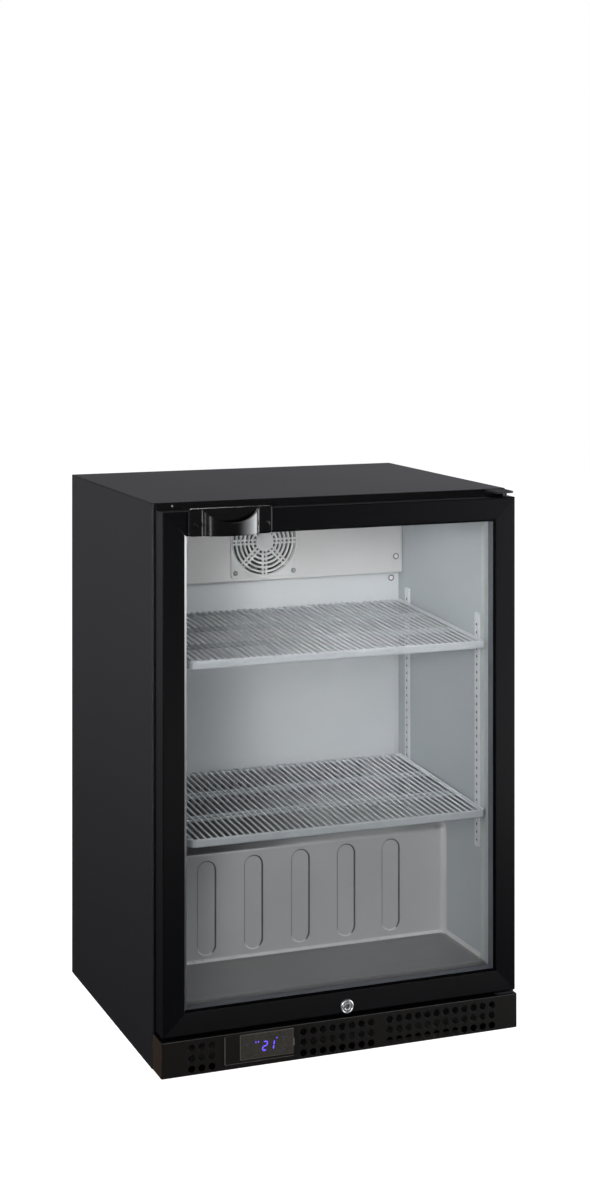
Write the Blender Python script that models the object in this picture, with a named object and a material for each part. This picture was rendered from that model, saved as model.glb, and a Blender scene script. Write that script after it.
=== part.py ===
"""Undercounter refrigerator with one glass door, as an assembly of separate solids.

The helper frame used below has x = 0 on the cabinet's middle, y = 0 on the
cabinet's front plane (the face that the door seals on, +y to the back) and
z = 0 at the lower edge of the side panels. An empty moves it so that the
finished object stands on z = 0 with the middle of its footprint at x = y = 0.
All dimensions below are in millimetres; meshes are made in metres.
"""
import math

import bmesh
import bpy
from mathutils import Matrix, Vector

MM = 0.001
GAP = 0.3                       # clearance between neighbouring solids

# ---------------------------------------------------------------- dimensions
# cabinet
CAB_W = 600.0
CAB_H = 862.0
CAB_D = 468.0
SHEET = 1.0                     # sheet metal
FOOT_PROUD = 2.0                # glides below the side panels
FOOT_R = 16.0
FOOT_X = 268.0
FOOT_Y = (30.0, 440.0)
FRAME_D = 12.0                  # depth of the front frame ring

# interior (liner surfaces)
IN_X = 262.0
IN_FLOOR = 97.0
IN_CEIL = 824.0
IN_BACK = 428.0
HUMP_Y = 152.0
HUMP_Z = 275.0

# machine compartment (its skin's inner surfaces)
MC_Y = 194.0
MC_Z = 234.0
MC_BOTTOM = 62.0

# evaporator section
COVER_Y = 320.0
COVER_Z = 683.0
COVER_X = 257.5
DUCT_Y = 335.0
DUCT_X = 252.5
DUCT_SLOTS = 25                 # upright air slots in a row near its lower edge
DUCT_SLOT_PITCH = 15.3
DUCT_SLOT_W = 8.5
DUCT_SLOT_Z = (303.0, 360.0)
FAN_Z = 750.0
GUARD = 122.0
FAN_BORE_R = 56.5
FAN_TIP_R = 53.0
FAN_HUB_R = 20.0

# shelves
SHELF_X = (-246.0, 257.3)       # pushed over to the right side
SHELF_Y = (-14.3, 321.0)        # the front lip stands just behind the glass
SHELF_T = 6.0
SHELF_LIP = 14.0
SHELF_TILT = 3.1                # degrees, front edge low
SHELF_Z = {"shelf_upper": 627.9, "shelf_lower": 355.4}   # top surface at mid depth
SHELF_SLOTS = 14
SHELF_RAIL_IN = 232.0           # inner edge of the rails' level leg
SHELF_RAIL_Y = (16.0, 303.0)
PIL_IN = 258.0                  # inner face of the pilasters
PIL_Y = {"front": (13.5, 28.0), "rear": (289.0, 305.0)}
PIL_Z = (278.0, 658.0)

# door
DOOR_X = 296.5
DOOR_Z = (60.0, 852.0)
DOOR_Y = (-42.5, -6.5)          # front face, back face
FRAME_W = 34.5                  # face width of rails and stiles
GROOVE_W = 21.7                 # from the outer edge to the groove bottom
BACK_LIP = 30.0
LIP_FRONT_T = 1.5
GLASS_X = 274.0
GLASS_T = 4.0
SPACER_T = 15.5
SPACER_IN = 258.5
SPACER_OUT = 269.0
PIVOT = (286.0, -25.0)
PIN_R = 4.0
BUSH_R = 7.0
GASKET_OUT = 280.0
GASKET_IN = 270.0

# handle on the top rail
HND_X = (-256.7, -122.0)
HND_ARCH = (-236.0, -142.5)
HND_Z = (813.7, 856.7)
HND_PLATE = 3.0
HND_PROUD = 22.0
HND_WALL = 3.2
HND_SCOOP = 22.0

# lock in the bottom rail
LOCK_X = 3.0
LOCK_Z = 71.5
LOCK_R = 8.0
LOCK_FLANGE_R = 11.0
LOCK_PLUG_R = 6.0

# kick panel
KICK_X = 299.0
KICK_Y = -43.3
KICK_Z = 54.0
HOLE_R = 5.0
HOLE_PITCH = 16.2
HOLE_ROWS = (8.6, 24.8, 41.0)
HOLE_BLOCKS = ((-251.0, 3), (-69.4, 8), (76.0, 12))    # first column, columns

# controller
CTRL_X = (-198.8, -85.7)
CTRL_Z = (8.0, 51.0)

# rear
INLET_X = 225.0
INLET_Z = 34.0
REAR_MAX = CAB_D + 2.0

FRONT_MIN = DOOR_Y[0] - HND_PROUD
ROOT = Vector((0.0, -(FRONT_MIN + REAR_MAX) / 2.0, FOOT_PROUD))

# ---------------------------------------------------------------- clean scene
for old in list(bpy.data.objects):
    bpy.data.objects.remove(old, do_unlink=True)

scene = bpy.context.scene
empties = {}


def empty(name, at, parent=None):
    """An empty at a point of the helper frame; it isn't a piece."""
    ob = bpy.data.objects.new(name, None)
    scene.collection.objects.link(ob)
    ob.empty_display_size = 0.05
    base = ROOT if parent is None else Vector(at) - empties[parent][1]
    if parent is None:
        ob.location = ROOT * MM
    else:
        ob.parent = empties[parent][0]
        ob.location = base * MM
    empties[name] = (ob, Vector(at))
    return ob


def material(name, colour, rough, metal, alpha=1.0):
    mat = bpy.data.materials.new(name + "_finish")
    mat.use_nodes = True
    shader = mat.node_tree.nodes["Principled BSDF"]
    shader.inputs["Base Color"].default_value = (colour[0], colour[1], colour[2], 1.0)
    shader.inputs["Roughness"].default_value = rough
    shader.inputs["Metallic"].default_value = metal
    shader.inputs["Alpha"].default_value = alpha
    mat.diffuse_color = (colour[0], colour[1], colour[2], alpha)
    return mat


BLACK = ((0.012, 0.012, 0.014), 0.42, 0.0)
CHARCOAL = ((0.030, 0.030, 0.034), 0.5, 0.0)
GLOSS_BLACK = ((0.008, 0.008, 0.009), 0.2, 0.0)
ALUMINIUM = ((0.55, 0.56, 0.56), 0.4, 0.9)
ZINC = ((0.42, 0.43, 0.44), 0.45, 0.9)
WHITE_WIRE = ((0.62, 0.64, 0.64), 0.4, 0.0)
GREY_PLASTIC = ((0.55, 0.55, 0.53), 0.5, 0.0)
DARK_PLASTIC = ((0.03, 0.03, 0.03), 0.5, 0.0)
RUBBER = ((0.015, 0.015, 0.015), 0.8, 0.0)
CHROME = ((0.75, 0.75, 0.76), 0.12, 1.0)
STEEL = ((0.35, 0.35, 0.36), 0.35, 1.0)
COPPER = ((0.55, 0.26, 0.15), 0.35, 1.0)
FOAM = ((0.78, 0.70, 0.45), 0.95, 0.0)
GLASS = ((0.75, 0.80, 0.80), 0.02, 0.0)


def piece(name, bm, finish, parent="refrigerator", origin=None, smooth=None,
          alpha=1.0, guide=False):
    """Turn a bmesh drawn in the helper frame into one named object."""
    bmesh.ops.recalc_face_normals(bm, faces=bm.faces[:])
    if origin is None:
        xs = [v.co for v in bm.verts]
        origin = sum(xs, Vector()) / len(xs)
    origin = Vector(origin)
    bmesh.ops.translate(bm, verts=bm.verts[:], vec=-origin)
    bmesh.ops.scale(bm, verts=bm.verts[:], vec=Vector((MM, MM, MM)))
    me = bpy.data.meshes.new(name)
    bm.to_mesh(me)
    bm.free()
    ob = bpy.data.objects.new(name, me)
    scene.collection.objects.link(ob)
    ob.parent = empties[parent][0]
    ob.location = (origin - empties[parent][1]) * MM
    if smooth is not None:
        me.shade_smooth()
        me.set_sharp_from_angle(angle=math.radians(smooth))
    if guide:
        ob.hide_render = True
        ob.display_type = "WIRE"
    else:
        me.materials.append(material(name, finish[0], finish[1], finish[2], alpha))
    return ob


def boolean(target, tool, operation):
    mod = target.modifiers.new(operation.lower() + "_" + tool.name, "BOOLEAN")
    mod.operation = operation
    mod.solver = "EXACT"
    mod.object = tool
    return mod


def cut(target, bm, label, parent="refrigerator"):
    tool = piece("guide_" + target.name + "_" + label, bm, None, parent=parent, guide=True)
    boolean(target, tool, "DIFFERENCE")
    return tool


def fuse(target, bm, label, parent="refrigerator"):
    tool = piece("guide_" + target.name + "_" + label, bm, None, parent=parent, guide=True)
    boolean(target, tool, "UNION")
    return tool


# ---------------------------------------------------------------- shape tools
def box(bm, x0, x1, y0, y1, z0, z1):
    vs = [bm.verts.new(p) for p in (
        (x0, y0, z0), (x1, y0, z0), (x1, y1, z0), (x0, y1, z0),
        (x0, y0, z1), (x1, y0, z1), (x1, y1, z1), (x0, y1, z1))]
    for f in ((3, 2, 1, 0), (4, 5, 6, 7), (0, 1, 5, 4), (1, 2, 6, 5), (2, 3, 7, 6), (3, 0, 4, 7)):
        bm.faces.new([vs[i] for i in f])
    return vs


def lift(a, b, axis, t):
    """A point from its two in-plane coordinates and its place along an axis."""
    if axis == "x":
        return (t, a, b)
    if axis == "y":
        return (a, t, b)
    return (a, b, t)


def prism(bm, outline, axis, t0, t1):
    """A polygon drawn across an axis, drawn out along it."""
    low = [bm.verts.new(lift(a, b, axis, t0)) for a, b in outline]
    high = [bm.verts.new(lift(a, b, axis, t1)) for a, b in outline]
    bm.faces.new(low)
    bm.faces.new(high)
    n = len(outline)
    for i in range(n):
        j = (i + 1) % n
        bm.faces.new((low[i], low[j], high[j], high[i]))
    return low + high


def circle(ca, cb, r, n, turn=0.0):
    return [(ca + r * math.cos(turn + 2 * math.pi * i / n),
             cb + r * math.sin(turn + 2 * math.pi * i / n)) for i in range(n)]


def cylinder(bm, ca, cb, r, axis, t0, t1, n=20, turn=0.0):
    return prism(bm, circle(ca, cb, r, n, turn), axis, t0, t1)


def turned(bm, profile, centre, axis, n):
    """A solid of revolution from (radius, place) pairs; ends close on the axis."""
    rings = []
    for r, t in profile:
        if r < 1e-6:
            rings.append([bm.verts.new(lift(centre[0], centre[1], axis, t))])
        else:
            rings.append([bm.verts.new(lift(a, b, axis, t))
                          for a, b in circle(centre[0], centre[1], r, n)])
    for low, high in zip(rings[:-1], rings[1:]):
        for i in range(n):
            j = (i + 1) % n
            if len(low) == 1 and len(high) == 1:
                continue
            if len(low) == 1:
                bm.faces.new((low[0], high[j], high[i]))
            elif len(high) == 1:
                bm.faces.new((low[i], low[j], high[0]))
            else:
                bm.faces.new((low[i], low[j], high[j], high[i]))
    for end in (rings[0], rings[-1]):
        if len(end) > 1:
            bm.faces.new(end)


def ring(bm, xo, z0o, z1o, xi, z0i, z1i, y0, y1):
    """A flat rectangular ring that faces the front."""
    loops = []
    for y in (y0, y1):
        loops.append([bm.verts.new(p) for p in ((-xo, y, z0o), (xo, y, z0o), (xo, y, z1o), (-xo, y, z1o))])
        loops.append([bm.verts.new(p) for p in ((-xi, y, z0i), (xi, y, z0i), (xi, y, z1i), (-xi, y, z1i))])
    fo, fi, bo, bi = loops
    for i in range(4):
        j = (i + 1) % 4
        bm.faces.new((fo[i], fo[j], fi[j], fi[i]))
        bm.faces.new((bo[j], bo[i], bi[i], bi[j]))
        bm.faces.new((fo[j], fo[i], bo[i], bo[j]))
        bm.faces.new((fi[i], fi[j], bi[j], bi[i]))


def comb(a0, a1, b0, b1, spine, teeth, tooth):
    """Outline of a row of fins on a spine."""
    pts = [(a0, b0), (a1, b0)]
    step = (a1 - a0 - tooth) / (teeth - 1)
    for i in reversed(range(teeth)):
        left = a0 + i * step
        pts += [(left + tooth, b1), (left, b1)]
        if i:
            pts += [(left, b0 + spine), (left - step + tooth, b0 + spine)]
    return pts


def new():
    return bmesh.new()


def plain_box(name, dims, finish, **kw):
    bm = new()
    box(bm, *dims)
    return piece(name, bm, finish, **kw)


empty("refrigerator", (0, 0, 0))
empty("door_pivot", (PIVOT[0], PIVOT[1], DOOR_Z[0]), "refrigerator")
empty("lock_axis", (LOCK_X, DOOR_Y[0], LOCK_Z), "door_pivot")

half = CAB_W / 2.0
inner = half - SHEET - GAP      # room between the side panels

# ---------------------------------------------------------------- outer shell
for side, sign in (("left", -1.0), ("right", 1.0)):
    xs = sorted((sign * half, sign * (half - SHEET)))
    plain_box("side_panel_" + side, (xs[0], xs[1], 0.0, CAB_D, 0.0, CAB_H - SHEET - GAP), CHARCOAL)

plain_box("top_panel", (-half, half, 0.0, CAB_D, CAB_H - SHEET, CAB_H), CHARCOAL)
plain_box("rear_panel", (-inner, inner, CAB_D - SHEET, CAB_D, MC_Z + 2.0, CAB_H - SHEET - GAP), ZINC)
plain_box("base_pan", (-inner, inner, 1.0, CAB_D - 3.0, 0.3, 1.8), ZINC)

bm = new()
ring(bm, inner, KICK_Z + 0.6, CAB_H - SHEET - GAP, IN_X, IN_FLOOR, IN_CEIL, 0.0, FRAME_D)
piece("front_frame", bm, BLACK)

# foam between skin and liner: a block with the interior and the machine
# compartment taken out of it
foam_y0 = FRAME_D + GAP
top_in = CAB_H - SHEET - GAP
foam = plain_box("foam_insulation", (-inner, inner, foam_y0, CAB_D - SHEET - GAP, MC_BOTTOM + GAP, top_in), FOAM)
step = SHEET + GAP
bm = new()
prism(bm, [(-10.0, IN_FLOOR - step), (HUMP_Y + step, IN_FLOOR - step), (HUMP_Y + step, HUMP_Z - step),
           (IN_BACK + step, HUMP_Z - step), (IN_BACK + step, IN_CEIL + step), (-10.0, IN_CEIL + step)],
      "x", -(IN_X + step), IN_X + step)
cut(foam, bm, "interior")
bm = new()
box(bm, -half - 5.0, half + 5.0, MC_Y - step, CAB_D + 20.0, 0.0, MC_Z + step)
cut(foam, bm, "compartment")

# bent sheet under the foam: below the floor, up the riser, over the compartment
bm = new()
prism(bm, [(foam_y0, MC_BOTTOM - SHEET), (MC_Y, MC_BOTTOM - SHEET), (MC_Y, MC_Z), (CAB_D - 1.6, MC_Z),
           (CAB_D - 1.6, MC_Z + SHEET), (MC_Y - SHEET, MC_Z + SHEET), (MC_Y - SHEET, MC_BOTTOM),
           (foam_y0, MC_BOTTOM)], "x", -inner, inner)
piece("compartment_skin", bm, ZINC)

# rear grille over the machine compartment, with louvre slots
grille = plain_box("rear_grille", (-inner, inner, CAB_D - 1.5, CAB_D - 0.5, 2.6, MC_Z - 0.6), ZINC)
bm = new()
for row in range(7):
    z = 82.0 + 20.0 * row
    for col in range(4):
        x = -270.0 + 138.0 * col
        box(bm, x, x + 126.0, CAB_D - 5.0, CAB_D + 5.0, z, z + 8.0)
box(bm, INLET_X - 21.6, INLET_X + 21.6, CAB_D - 5.0, CAB_D + 5.0, INLET_Z - 14.6, INLET_Z + 14.6)
cut(grille, bm, "slots")

# glides
for iy, y in enumerate(FOOT_Y):
    for side, sign in (("left", -1.0), ("right", 1.0)):
        bm = new()
        turned(bm, [(FOOT_R - 2.0, -FOOT_PROUD), (FOOT_R, -FOOT_PROUD + 0.7), (FOOT_R, 0.0)],
               (sign * FOOT_X, y), "z", 16)
        piece("foot_" + ("front_", "rear_")[iy] + side, bm, DARK_PLASTIC, smooth=40)

# ---------------------------------------------------------------- liner
wall = [(foam_y0, IN_FLOOR - SHEET), (HUMP_Y + SHEET, IN_FLOOR - SHEET), (HUMP_Y + SHEET, HUMP_Z - SHEET),
        (IN_BACK + SHEET, HUMP_Z - SHEET), (IN_BACK + SHEET, IN_CEIL + SHEET), (foam_y0, IN_CEIL + SHEET)]
for side, sign in (("left", -1.0), ("right", 1.0)):
    bm = new()
    prism(bm, wall, "x", *sorted((sign * IN_X, sign * (IN_X + SHEET))))
    piece("liner_" + side, bm, ALUMINIUM)

sheet_x = IN_X - GAP
bm = new()
prism(bm, [(foam_y0, IN_CEIL), (IN_BACK, IN_CEIL), (IN_BACK, HUMP_Z + GAP), (IN_BACK + SHEET, HUMP_Z + GAP),
           (IN_BACK + SHEET, IN_CEIL + SHEET), (foam_y0, IN_CEIL + SHEET)], "x", -sheet_x, sheet_x)
piece("liner_back", bm, ALUMINIUM)

bm = new()
prism(bm, [(foam_y0, IN_FLOOR - SHEET), (HUMP_Y + SHEET, IN_FLOOR - SHEET), (HUMP_Y + SHEET, HUMP_Z - SHEET),
           (IN_BACK - GAP, HUMP_Z - SHEET), (IN_BACK - GAP, HUMP_Z), (HUMP_Y, HUMP_Z), (HUMP_Y, IN_FLOOR),
           (foam_y0, IN_FLOOR)], "x", -sheet_x, sheet_x)
piece("liner_floor", bm, ALUMINIUM)

duct = plain_box("duct_panel", (-DUCT_X, DUCT_X, DUCT_Y, DUCT_Y + SHEET, HUMP_Z + GAP, COVER_Z + 6.0), ALUMINIUM)
bm = new()
for i in range(DUCT_SLOTS):
    x = DUCT_SLOT_PITCH * (i - (DUCT_SLOTS - 1) / 2.0)
    box(bm, x - DUCT_SLOT_W / 2.0, x + DUCT_SLOT_W / 2.0, DUCT_Y - 5.0, DUCT_Y + 5.0, DUCT_SLOT_Z[0], DUCT_SLOT_Z[1])
cut(duct, bm, "slots")

for where, (y0, y1) in PIL_Y.items():
    for side, sign in (("left", -1.0), ("right", 1.0)):
        bm = new()
        a, b, t = PIL_IN, IN_X - GAP, 1.2
        prism(bm, [(sign * x, y) for x, y in (
            (a, y0), (a, y1), (b, y1), (b, y1 - t), (a + t, y1 - t), (a + t, y0 + t), (b, y0 + t), (b, y0))],
            "z", PIL_Z[0], PIL_Z[1])
        piece("pilaster_" + where + "_" + side, bm, ALUMINIUM)

# lamp under the ceiling, behind the top rail of the door
bm = new()
prism(bm, [(16.0, IN_CEIL - GAP), (16.0, 814.0), (22.0, 810.0), (36.0, 810.0), (42.0, 814.0), (42.0, IN_CEIL - GAP)],
      "x", -190.0, 190.0)
piece("interior_lamp", bm, ((0.8, 0.8, 0.78), 0.4, 0.0))

# ---------------------------------------------------------------- shelves
tilt = math.radians(SHELF_TILT)
mid_y = (SHELF_Y[0] + SHELF_Y[1]) / 2.0


def tilted(bm, z):
    bmesh.ops.rotate(bm, verts=bm.verts[:], cent=Vector((0.0, mid_y, z)),
                     matrix=Matrix.Rotation(tilt, 3, "X"))


for name, z in SHELF_Z.items():
    bm = new()
    y0, y1 = SHELF_Y
    prism(bm, [(y0, z), (y0, z - SHELF_LIP), (y0 + 4.0, z - SHELF_LIP), (y0 + 4.0, z - SHELF_T),
               (y1, z - SHELF_T), (y1, z)], "x", SHELF_X[0], SHELF_X[1])
    tilted(bm, z)
    shelf = piece(name, bm, WHITE_WIRE)
    bm = new()
    pitch = (SHELF_X[1] - SHELF_X[0] - 12.0) / SHELF_SLOTS
    for i in range(SHELF_SLOTS):
        x = SHELF_X[0] + 6.0 + pitch * i
        box(bm, x + 4.0, x + pitch - 4.0, y0 + 12.0, y1 - 12.0, z - 20.0, z + 10.0)
    tilted(bm, z)
    cut(shelf, bm, "slots")
    level = name.split("_")[1]
    for side, sign in (("left", -1.0), ("right", 1.0)):
        bm = new()
        zr = z - SHELF_T - GAP
        prism(bm, [(sign * x, zz) for x, zz in (
            (SHELF_RAIL_IN, zr), (SHELF_RAIL_IN, zr - 1.5), (PIL_IN - 1.8, zr - 1.5), (PIL_IN - 1.8, zr - 13.0),
            (PIL_IN - GAP, zr - 13.0), (PIL_IN - GAP, zr))], "y", SHELF_RAIL_Y[0], SHELF_RAIL_Y[1])
        tilted(bm, z)
        piece("shelf_rail_" + level + "_" + side, bm, STEEL)

# ---------------------------------------------------------------- cold side
bm = new()
prism(bm, [(COVER_Y, COVER_Z), (DUCT_Y - GAP, COVER_Z), (DUCT_Y - GAP, COVER_Z + SHEET),
           (COVER_Y + SHEET, COVER_Z + SHEET), (COVER_Y + SHEET, IN_CEIL - GAP), (COVER_Y, IN_CEIL - GAP)],
      "x", -COVER_X, COVER_X)
cover = piece("evaporator_cover", bm, ALUMINIUM)
bm = new()
cylinder(bm, 0.0, FAN_Z, FAN_BORE_R, "y", COVER_Y - 5.0, COVER_Y + 5.0, 24)
cut(cover, bm, "fan_hole")

# guard: a square plate with eight windows between hub, spokes and rim
g = GUARD / 2.0
guard = plain_box("fan_guard", (-g, g, COVER_Y - 4.5, COVER_Y - GAP, FAN_Z - g, FAN_Z + g), GREY_PLASTIC)
bm = new()
for k in range(8):
    mid = math.pi / 4 * k + math.pi / 8
    for r0, r1 in ((19.0, 35.0), (38.0, 56.0)):
        w0 = math.pi / 8 - 3.0 / r0
        w1 = math.pi / 8 - 3.0 / r1
        pts = [(r0, -w0), (r0, w0), (r1, w1), (r1 * 1.0, 0.0), (r1, -w1)]
        prism(bm, [(r * math.cos(mid + a), FAN_Z + r * math.sin(mid + a)) for r, a in pts],
              "y", COVER_Y - 8.0, COVER_Y + 1.0)
cut(guard, bm, "windows")

# fan: square frame with bore, motor hub and four struts, then the blade wheel
f0, f1 = COVER_Y + SHEET + 0.5, COVER_Y + 39.5
frame = plain_box("evaporator_fan_frame", (-59.5, 59.5, f0, f1, FAN_Z - 59.5, FAN_Z + 59.5), DARK_PLASTIC)
bm = new()
cylinder(bm, 0.0, FAN_Z, FAN_BORE_R, "y", f0 - 5.0, f1 + 5.0, 28)
cut(frame, bm, "bore")
bm = new()
cylinder(bm, 0.0, FAN_Z, FAN_HUB_R, "y", f1 - 18.0, f1, 20)
fuse(frame, bm, "motor")
for k in range(2):
    bm = new()
    box(bm, -58.0, 58.0, f1 - 5.0, f1 - 0.5, FAN_Z - 3.0, FAN_Z + 3.0)
    bmesh.ops.rotate(bm, verts=bm.verts[:], cent=Vector((0.0, f1, FAN_Z)),
                     matrix=Matrix.Rotation(math.radians(45.0 + 90.0 * k), 3, "Y"))
    fuse(frame, bm, "strut%d" % k)


def blade_wheel(name, centre, axis, hub_r, tip_r, t0, t1, blades, pitch_deg, finish):
    """A hub with twisted blades; its origin is on its axis."""
    bm = new()
    cylinder(bm, centre[0], centre[1], hub_r, axis, t0, t1, 20)
    mid_t = (t0 + t1) / 2.0
    at = Vector(lift(centre[0], centre[1], axis, mid_t))
    wheel = piece(name, bm, finish, origin=at, smooth=40)
    for k in range(blades):
        bm = new()
        turn = 2 * math.pi * k / blades
        stations = []
        for s in range(4):
            r = hub_r - 2.0 + (tip_r - hub_r + 2.0) * s / 3.0
            width = 13.0 + 17.0 * s / 3.0
            p = math.radians(pitch_deg - 10.0 * s / 3.0)
            loop = []
            for du, dn in ((-1, -1), (1, -1), (1, 1), (-1, 1)):
                u = du * width * math.cos(p) - dn * 0.9 * math.sin(p)
                n = du * width * math.sin(p) + dn * 0.9 * math.cos(p)
                n = max(min(n, (t1 - t0) / 2.0), -(t1 - t0) / 2.0)
                arc = turn + u / r
                a = centre[0] + r * math.cos(arc)
                b = centre[1] + r * math.sin(arc)
                loop.append(bm.verts.new(lift(a, b, axis, mid_t + n)))
            stations.append(loop)
        bm.faces.new(stations[0])
        bm.faces.new(stations[-1])
        for lo, hi in zip(stations[:-1], stations[1:]):
            for i in range(4):
                j = (i + 1) % 4
                bm.faces.new((lo[i], lo[j], hi[j], hi[i]))
        fuse(wheel, bm, "blade%d" % k)
    return wheel


blade_wheel("evaporator_fan_blade", (0.0, FAN_Z), "y", FAN_HUB_R, FAN_TIP_R, f0 + 2.5, f1 - 20.5, 5, 32.0, DARK_PLASTIC)

bm = new()
prism(bm, comb(-215.0, 215.0, 692.0, 812.0, 8.0, 22, 7.0), "y", 364.0, 424.0)
piece("evaporator_coil", bm, ALUMINIUM)

# ---------------------------------------------------------------- door
dx, (dz0, dz1), (dy0, dy1) = DOOR_X, DOOR_Z, DOOR_Y
groove0 = dy0 + LIP_FRONT_T
groove1 = groove0 + 0.3 + 2 * GLASS_T + SPACER_T + 4 * GAP


def frame_member(name, run):
    """A mitred length of channel section: front lip, web and back lip."""
    section = [(0.0, dy0), (FRAME_W, dy0), (FRAME_W, groove0), (GROOVE_W, groove0),
               (GROOVE_W, groove1), (BACK_LIP, groove1), (BACK_LIP, dy1), (0.0, dy1)]
    bm = new()
    ends = []
    for e in (0, 1):
        loop = []
        for u, y in section:
            m = u + 0.15        # half of the mitre gap
            if run == "left":
                p = (-dx + u, y, (dz0 + m) if e == 0 else (dz1 - m))
            elif run == "right":
                p = (dx - u, y, (dz0 + m) if e == 0 else (dz1 - m))
            elif run == "top":
                p = ((-dx + m) if e == 0 else (dx - m), y, dz1 - u)
            else:
                p = ((-dx + m) if e == 0 else (dx - m), y, dz0 + u)
            loop.append(bm.verts.new(p))
        ends.append(loop)
    bm.faces.new(ends[0])
    bm.faces.new(ends[1])
    n = len(section)
    for i in range(n):
        j = (i + 1) % n
        bm.faces.new((ends[0][i], ends[0][j], ends[1][j], ends[1][i]))
    return piece(name, bm, BLACK, parent="door_pivot")


stile_l = frame_member("door_stile_left", "left")
stile_r = frame_member("door_stile_right", "right")
rail_t = frame_member("door_rail_top", "top")
rail_b = frame_member("door_rail_bottom", "bottom")

# bores for the hinge bushes cross the mitres at the right-hand corners
for member, z0, z1, label in ((rail_t, dz1 - 17.0, dz1 + 3.0, "top"), (stile_r, dz1 - 17.0, dz1 + 3.0, "top"),
                              (rail_b, dz0 - 3.0, dz0 + 17.0, "bottom"), (stile_r, dz0 - 3.0, dz0 + 17.0, "bottom")):
    bm = new()
    cylinder(bm, PIVOT[0], PIVOT[1], BUSH_R + GAP, "z", z0, z1, 16)
    cut(member, bm, "bush_" + label, parent="door_pivot")

for label, z0, z1 in (("top", dz1 - 16.5, dz1), ("bottom", dz0, dz0 + 16.5)):
    bm = new()
    cylinder(bm, PIVOT[0], PIVOT[1], BUSH_R, "z", z0, z1, 16)
    bush = piece("hinge_bush_" + label, bm, GREY_PLASTIC, parent="door_pivot", smooth=40)
    bm = new()
    cylinder(bm, PIVOT[0], PIVOT[1], PIN_R + GAP, "z", z0 - 3.0, z1 + 3.0, 16)
    cut(bush, bm, "bore", parent="door_pivot")

# lock bore and the slot that its cam turns in, open at the bottom edge
bm = new()
cylinder(bm, LOCK_X, LOCK_Z, LOCK_R + GAP, "y", dy0 - 5.0, -20.0, 20)
cut(rail_b, bm, "lock", parent="door_pivot")
bm = new()
box(bm, LOCK_X - 12.0, LOCK_X + 31.0, -21.0, -14.0, dz0 - 5.0, LOCK_Z + 9.5)
cut(rail_b, bm, "cam_slot", parent="door_pivot")

# insulating glass
gy = groove0 + 0.15 + GAP
gz0, gz1 = dz0 + DOOR_X - GLASS_X, dz1 - (DOOR_X - GLASS_X)
plain_box("outer_glass", (-GLASS_X, GLASS_X, gy, gy + GLASS_T, gz0, gz1), GLASS, parent="door_pivot", alpha=0.2)
sy = gy + GLASS_T + GAP
ins_o, ins_i = DOOR_X - SPACER_OUT, DOOR_X - SPACER_IN
bm = new()
ring(bm, SPACER_OUT, dz0 + ins_o, dz1 - ins_o, SPACER_IN, dz0 + ins_i, dz1 - ins_i, sy, sy + SPACER_T)
piece("glass_spacer", bm, ALUMINIUM, parent="door_pivot")
iy = sy + SPACER_T + GAP
plain_box("inner_glass", (-GLASS_X, GLASS_X, iy, iy + GLASS_T, gz0, gz1), GLASS, parent="door_pivot", alpha=0.2)

# magnetic gasket on the back of the frame
go, gi = DOOR_X - GASKET_OUT, DOOR_X - GASKET_IN
bm = new()
ring(bm, GASKET_OUT, dz0 + go, dz1 - go, GASKET_IN, dz0 + gi, dz1 - gi, dy1 + GAP, -0.4)
piece("gasket", bm, RUBBER, parent="door_pivot")

# cup handle: back plate and a bowed wall with a scooped top
hy1 = dy0 - GAP
hy0 = hy1 - HND_PLATE
c = 5.0
bm = new()
prism(bm, [(HND_X[0] + c, HND_Z[0]), (HND_X[1] - c, HND_Z[0]), (HND_X[1], HND_Z[0] + c), (HND_X[1], HND_Z[1] - c),
           (HND_X[1] - c, HND_Z[1]), (HND_X[0] + c, HND_Z[1]), (HND_X[0], HND_Z[1] - c), (HND_X[0], HND_Z[0] + c)],
      "y", hy0, hy1)
handle = piece("handle", bm, GLOSS_BLACK, parent="door_pivot", smooth=40)
bm = new()
seg = 16
loops = []
a0, a1 = HND_ARCH
for i in range(seg + 1):
    t = i / seg
    bow = math.sin(math.pi * t) ** 0.55 if 0 < i < seg else 0.0
    bow_in = math.sin(math.pi * t) ** 0.75 if 0 < i < seg else 0.0
    x = a0 + (a1 - a0) * t
    xi = a0 + HND_WALL + (a1 - a0 - 2 * HND_WALL) * t
    front = hy0 - (HND_PROUD - HND_PLATE - GAP) * bow
    back = hy0 + 1.0 - (HND_PROUD - HND_PLATE - GAP - HND_WALL + 1.0) * bow_in
    back = max(back, front + HND_WALL * 0.6) if 0 < i < seg else hy0 + 1.0
    top = HND_Z[1] - 1.5 - HND_SCOOP * math.sin(math.pi * t) ** 0.8 if 0 < i < seg else HND_Z[1] - 1.5
    loops.append([bm.verts.new(p) for p in (
        (x, front, HND_Z[0] + 0.3), (x, front, top), (xi, back, top), (xi, back, HND_Z[0] + 0.3))])
bm.faces.new(loops[0])
bm.faces.new(loops[-1])
for lo, hi in zip(loops[:-1], loops[1:]):
    for i in range(4):
        j = (i + 1) % 4
        bm.faces.new((lo[i], lo[j], hi[j], hi[i]))
fuse(handle, bm, "arch", parent="door_pivot")

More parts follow.
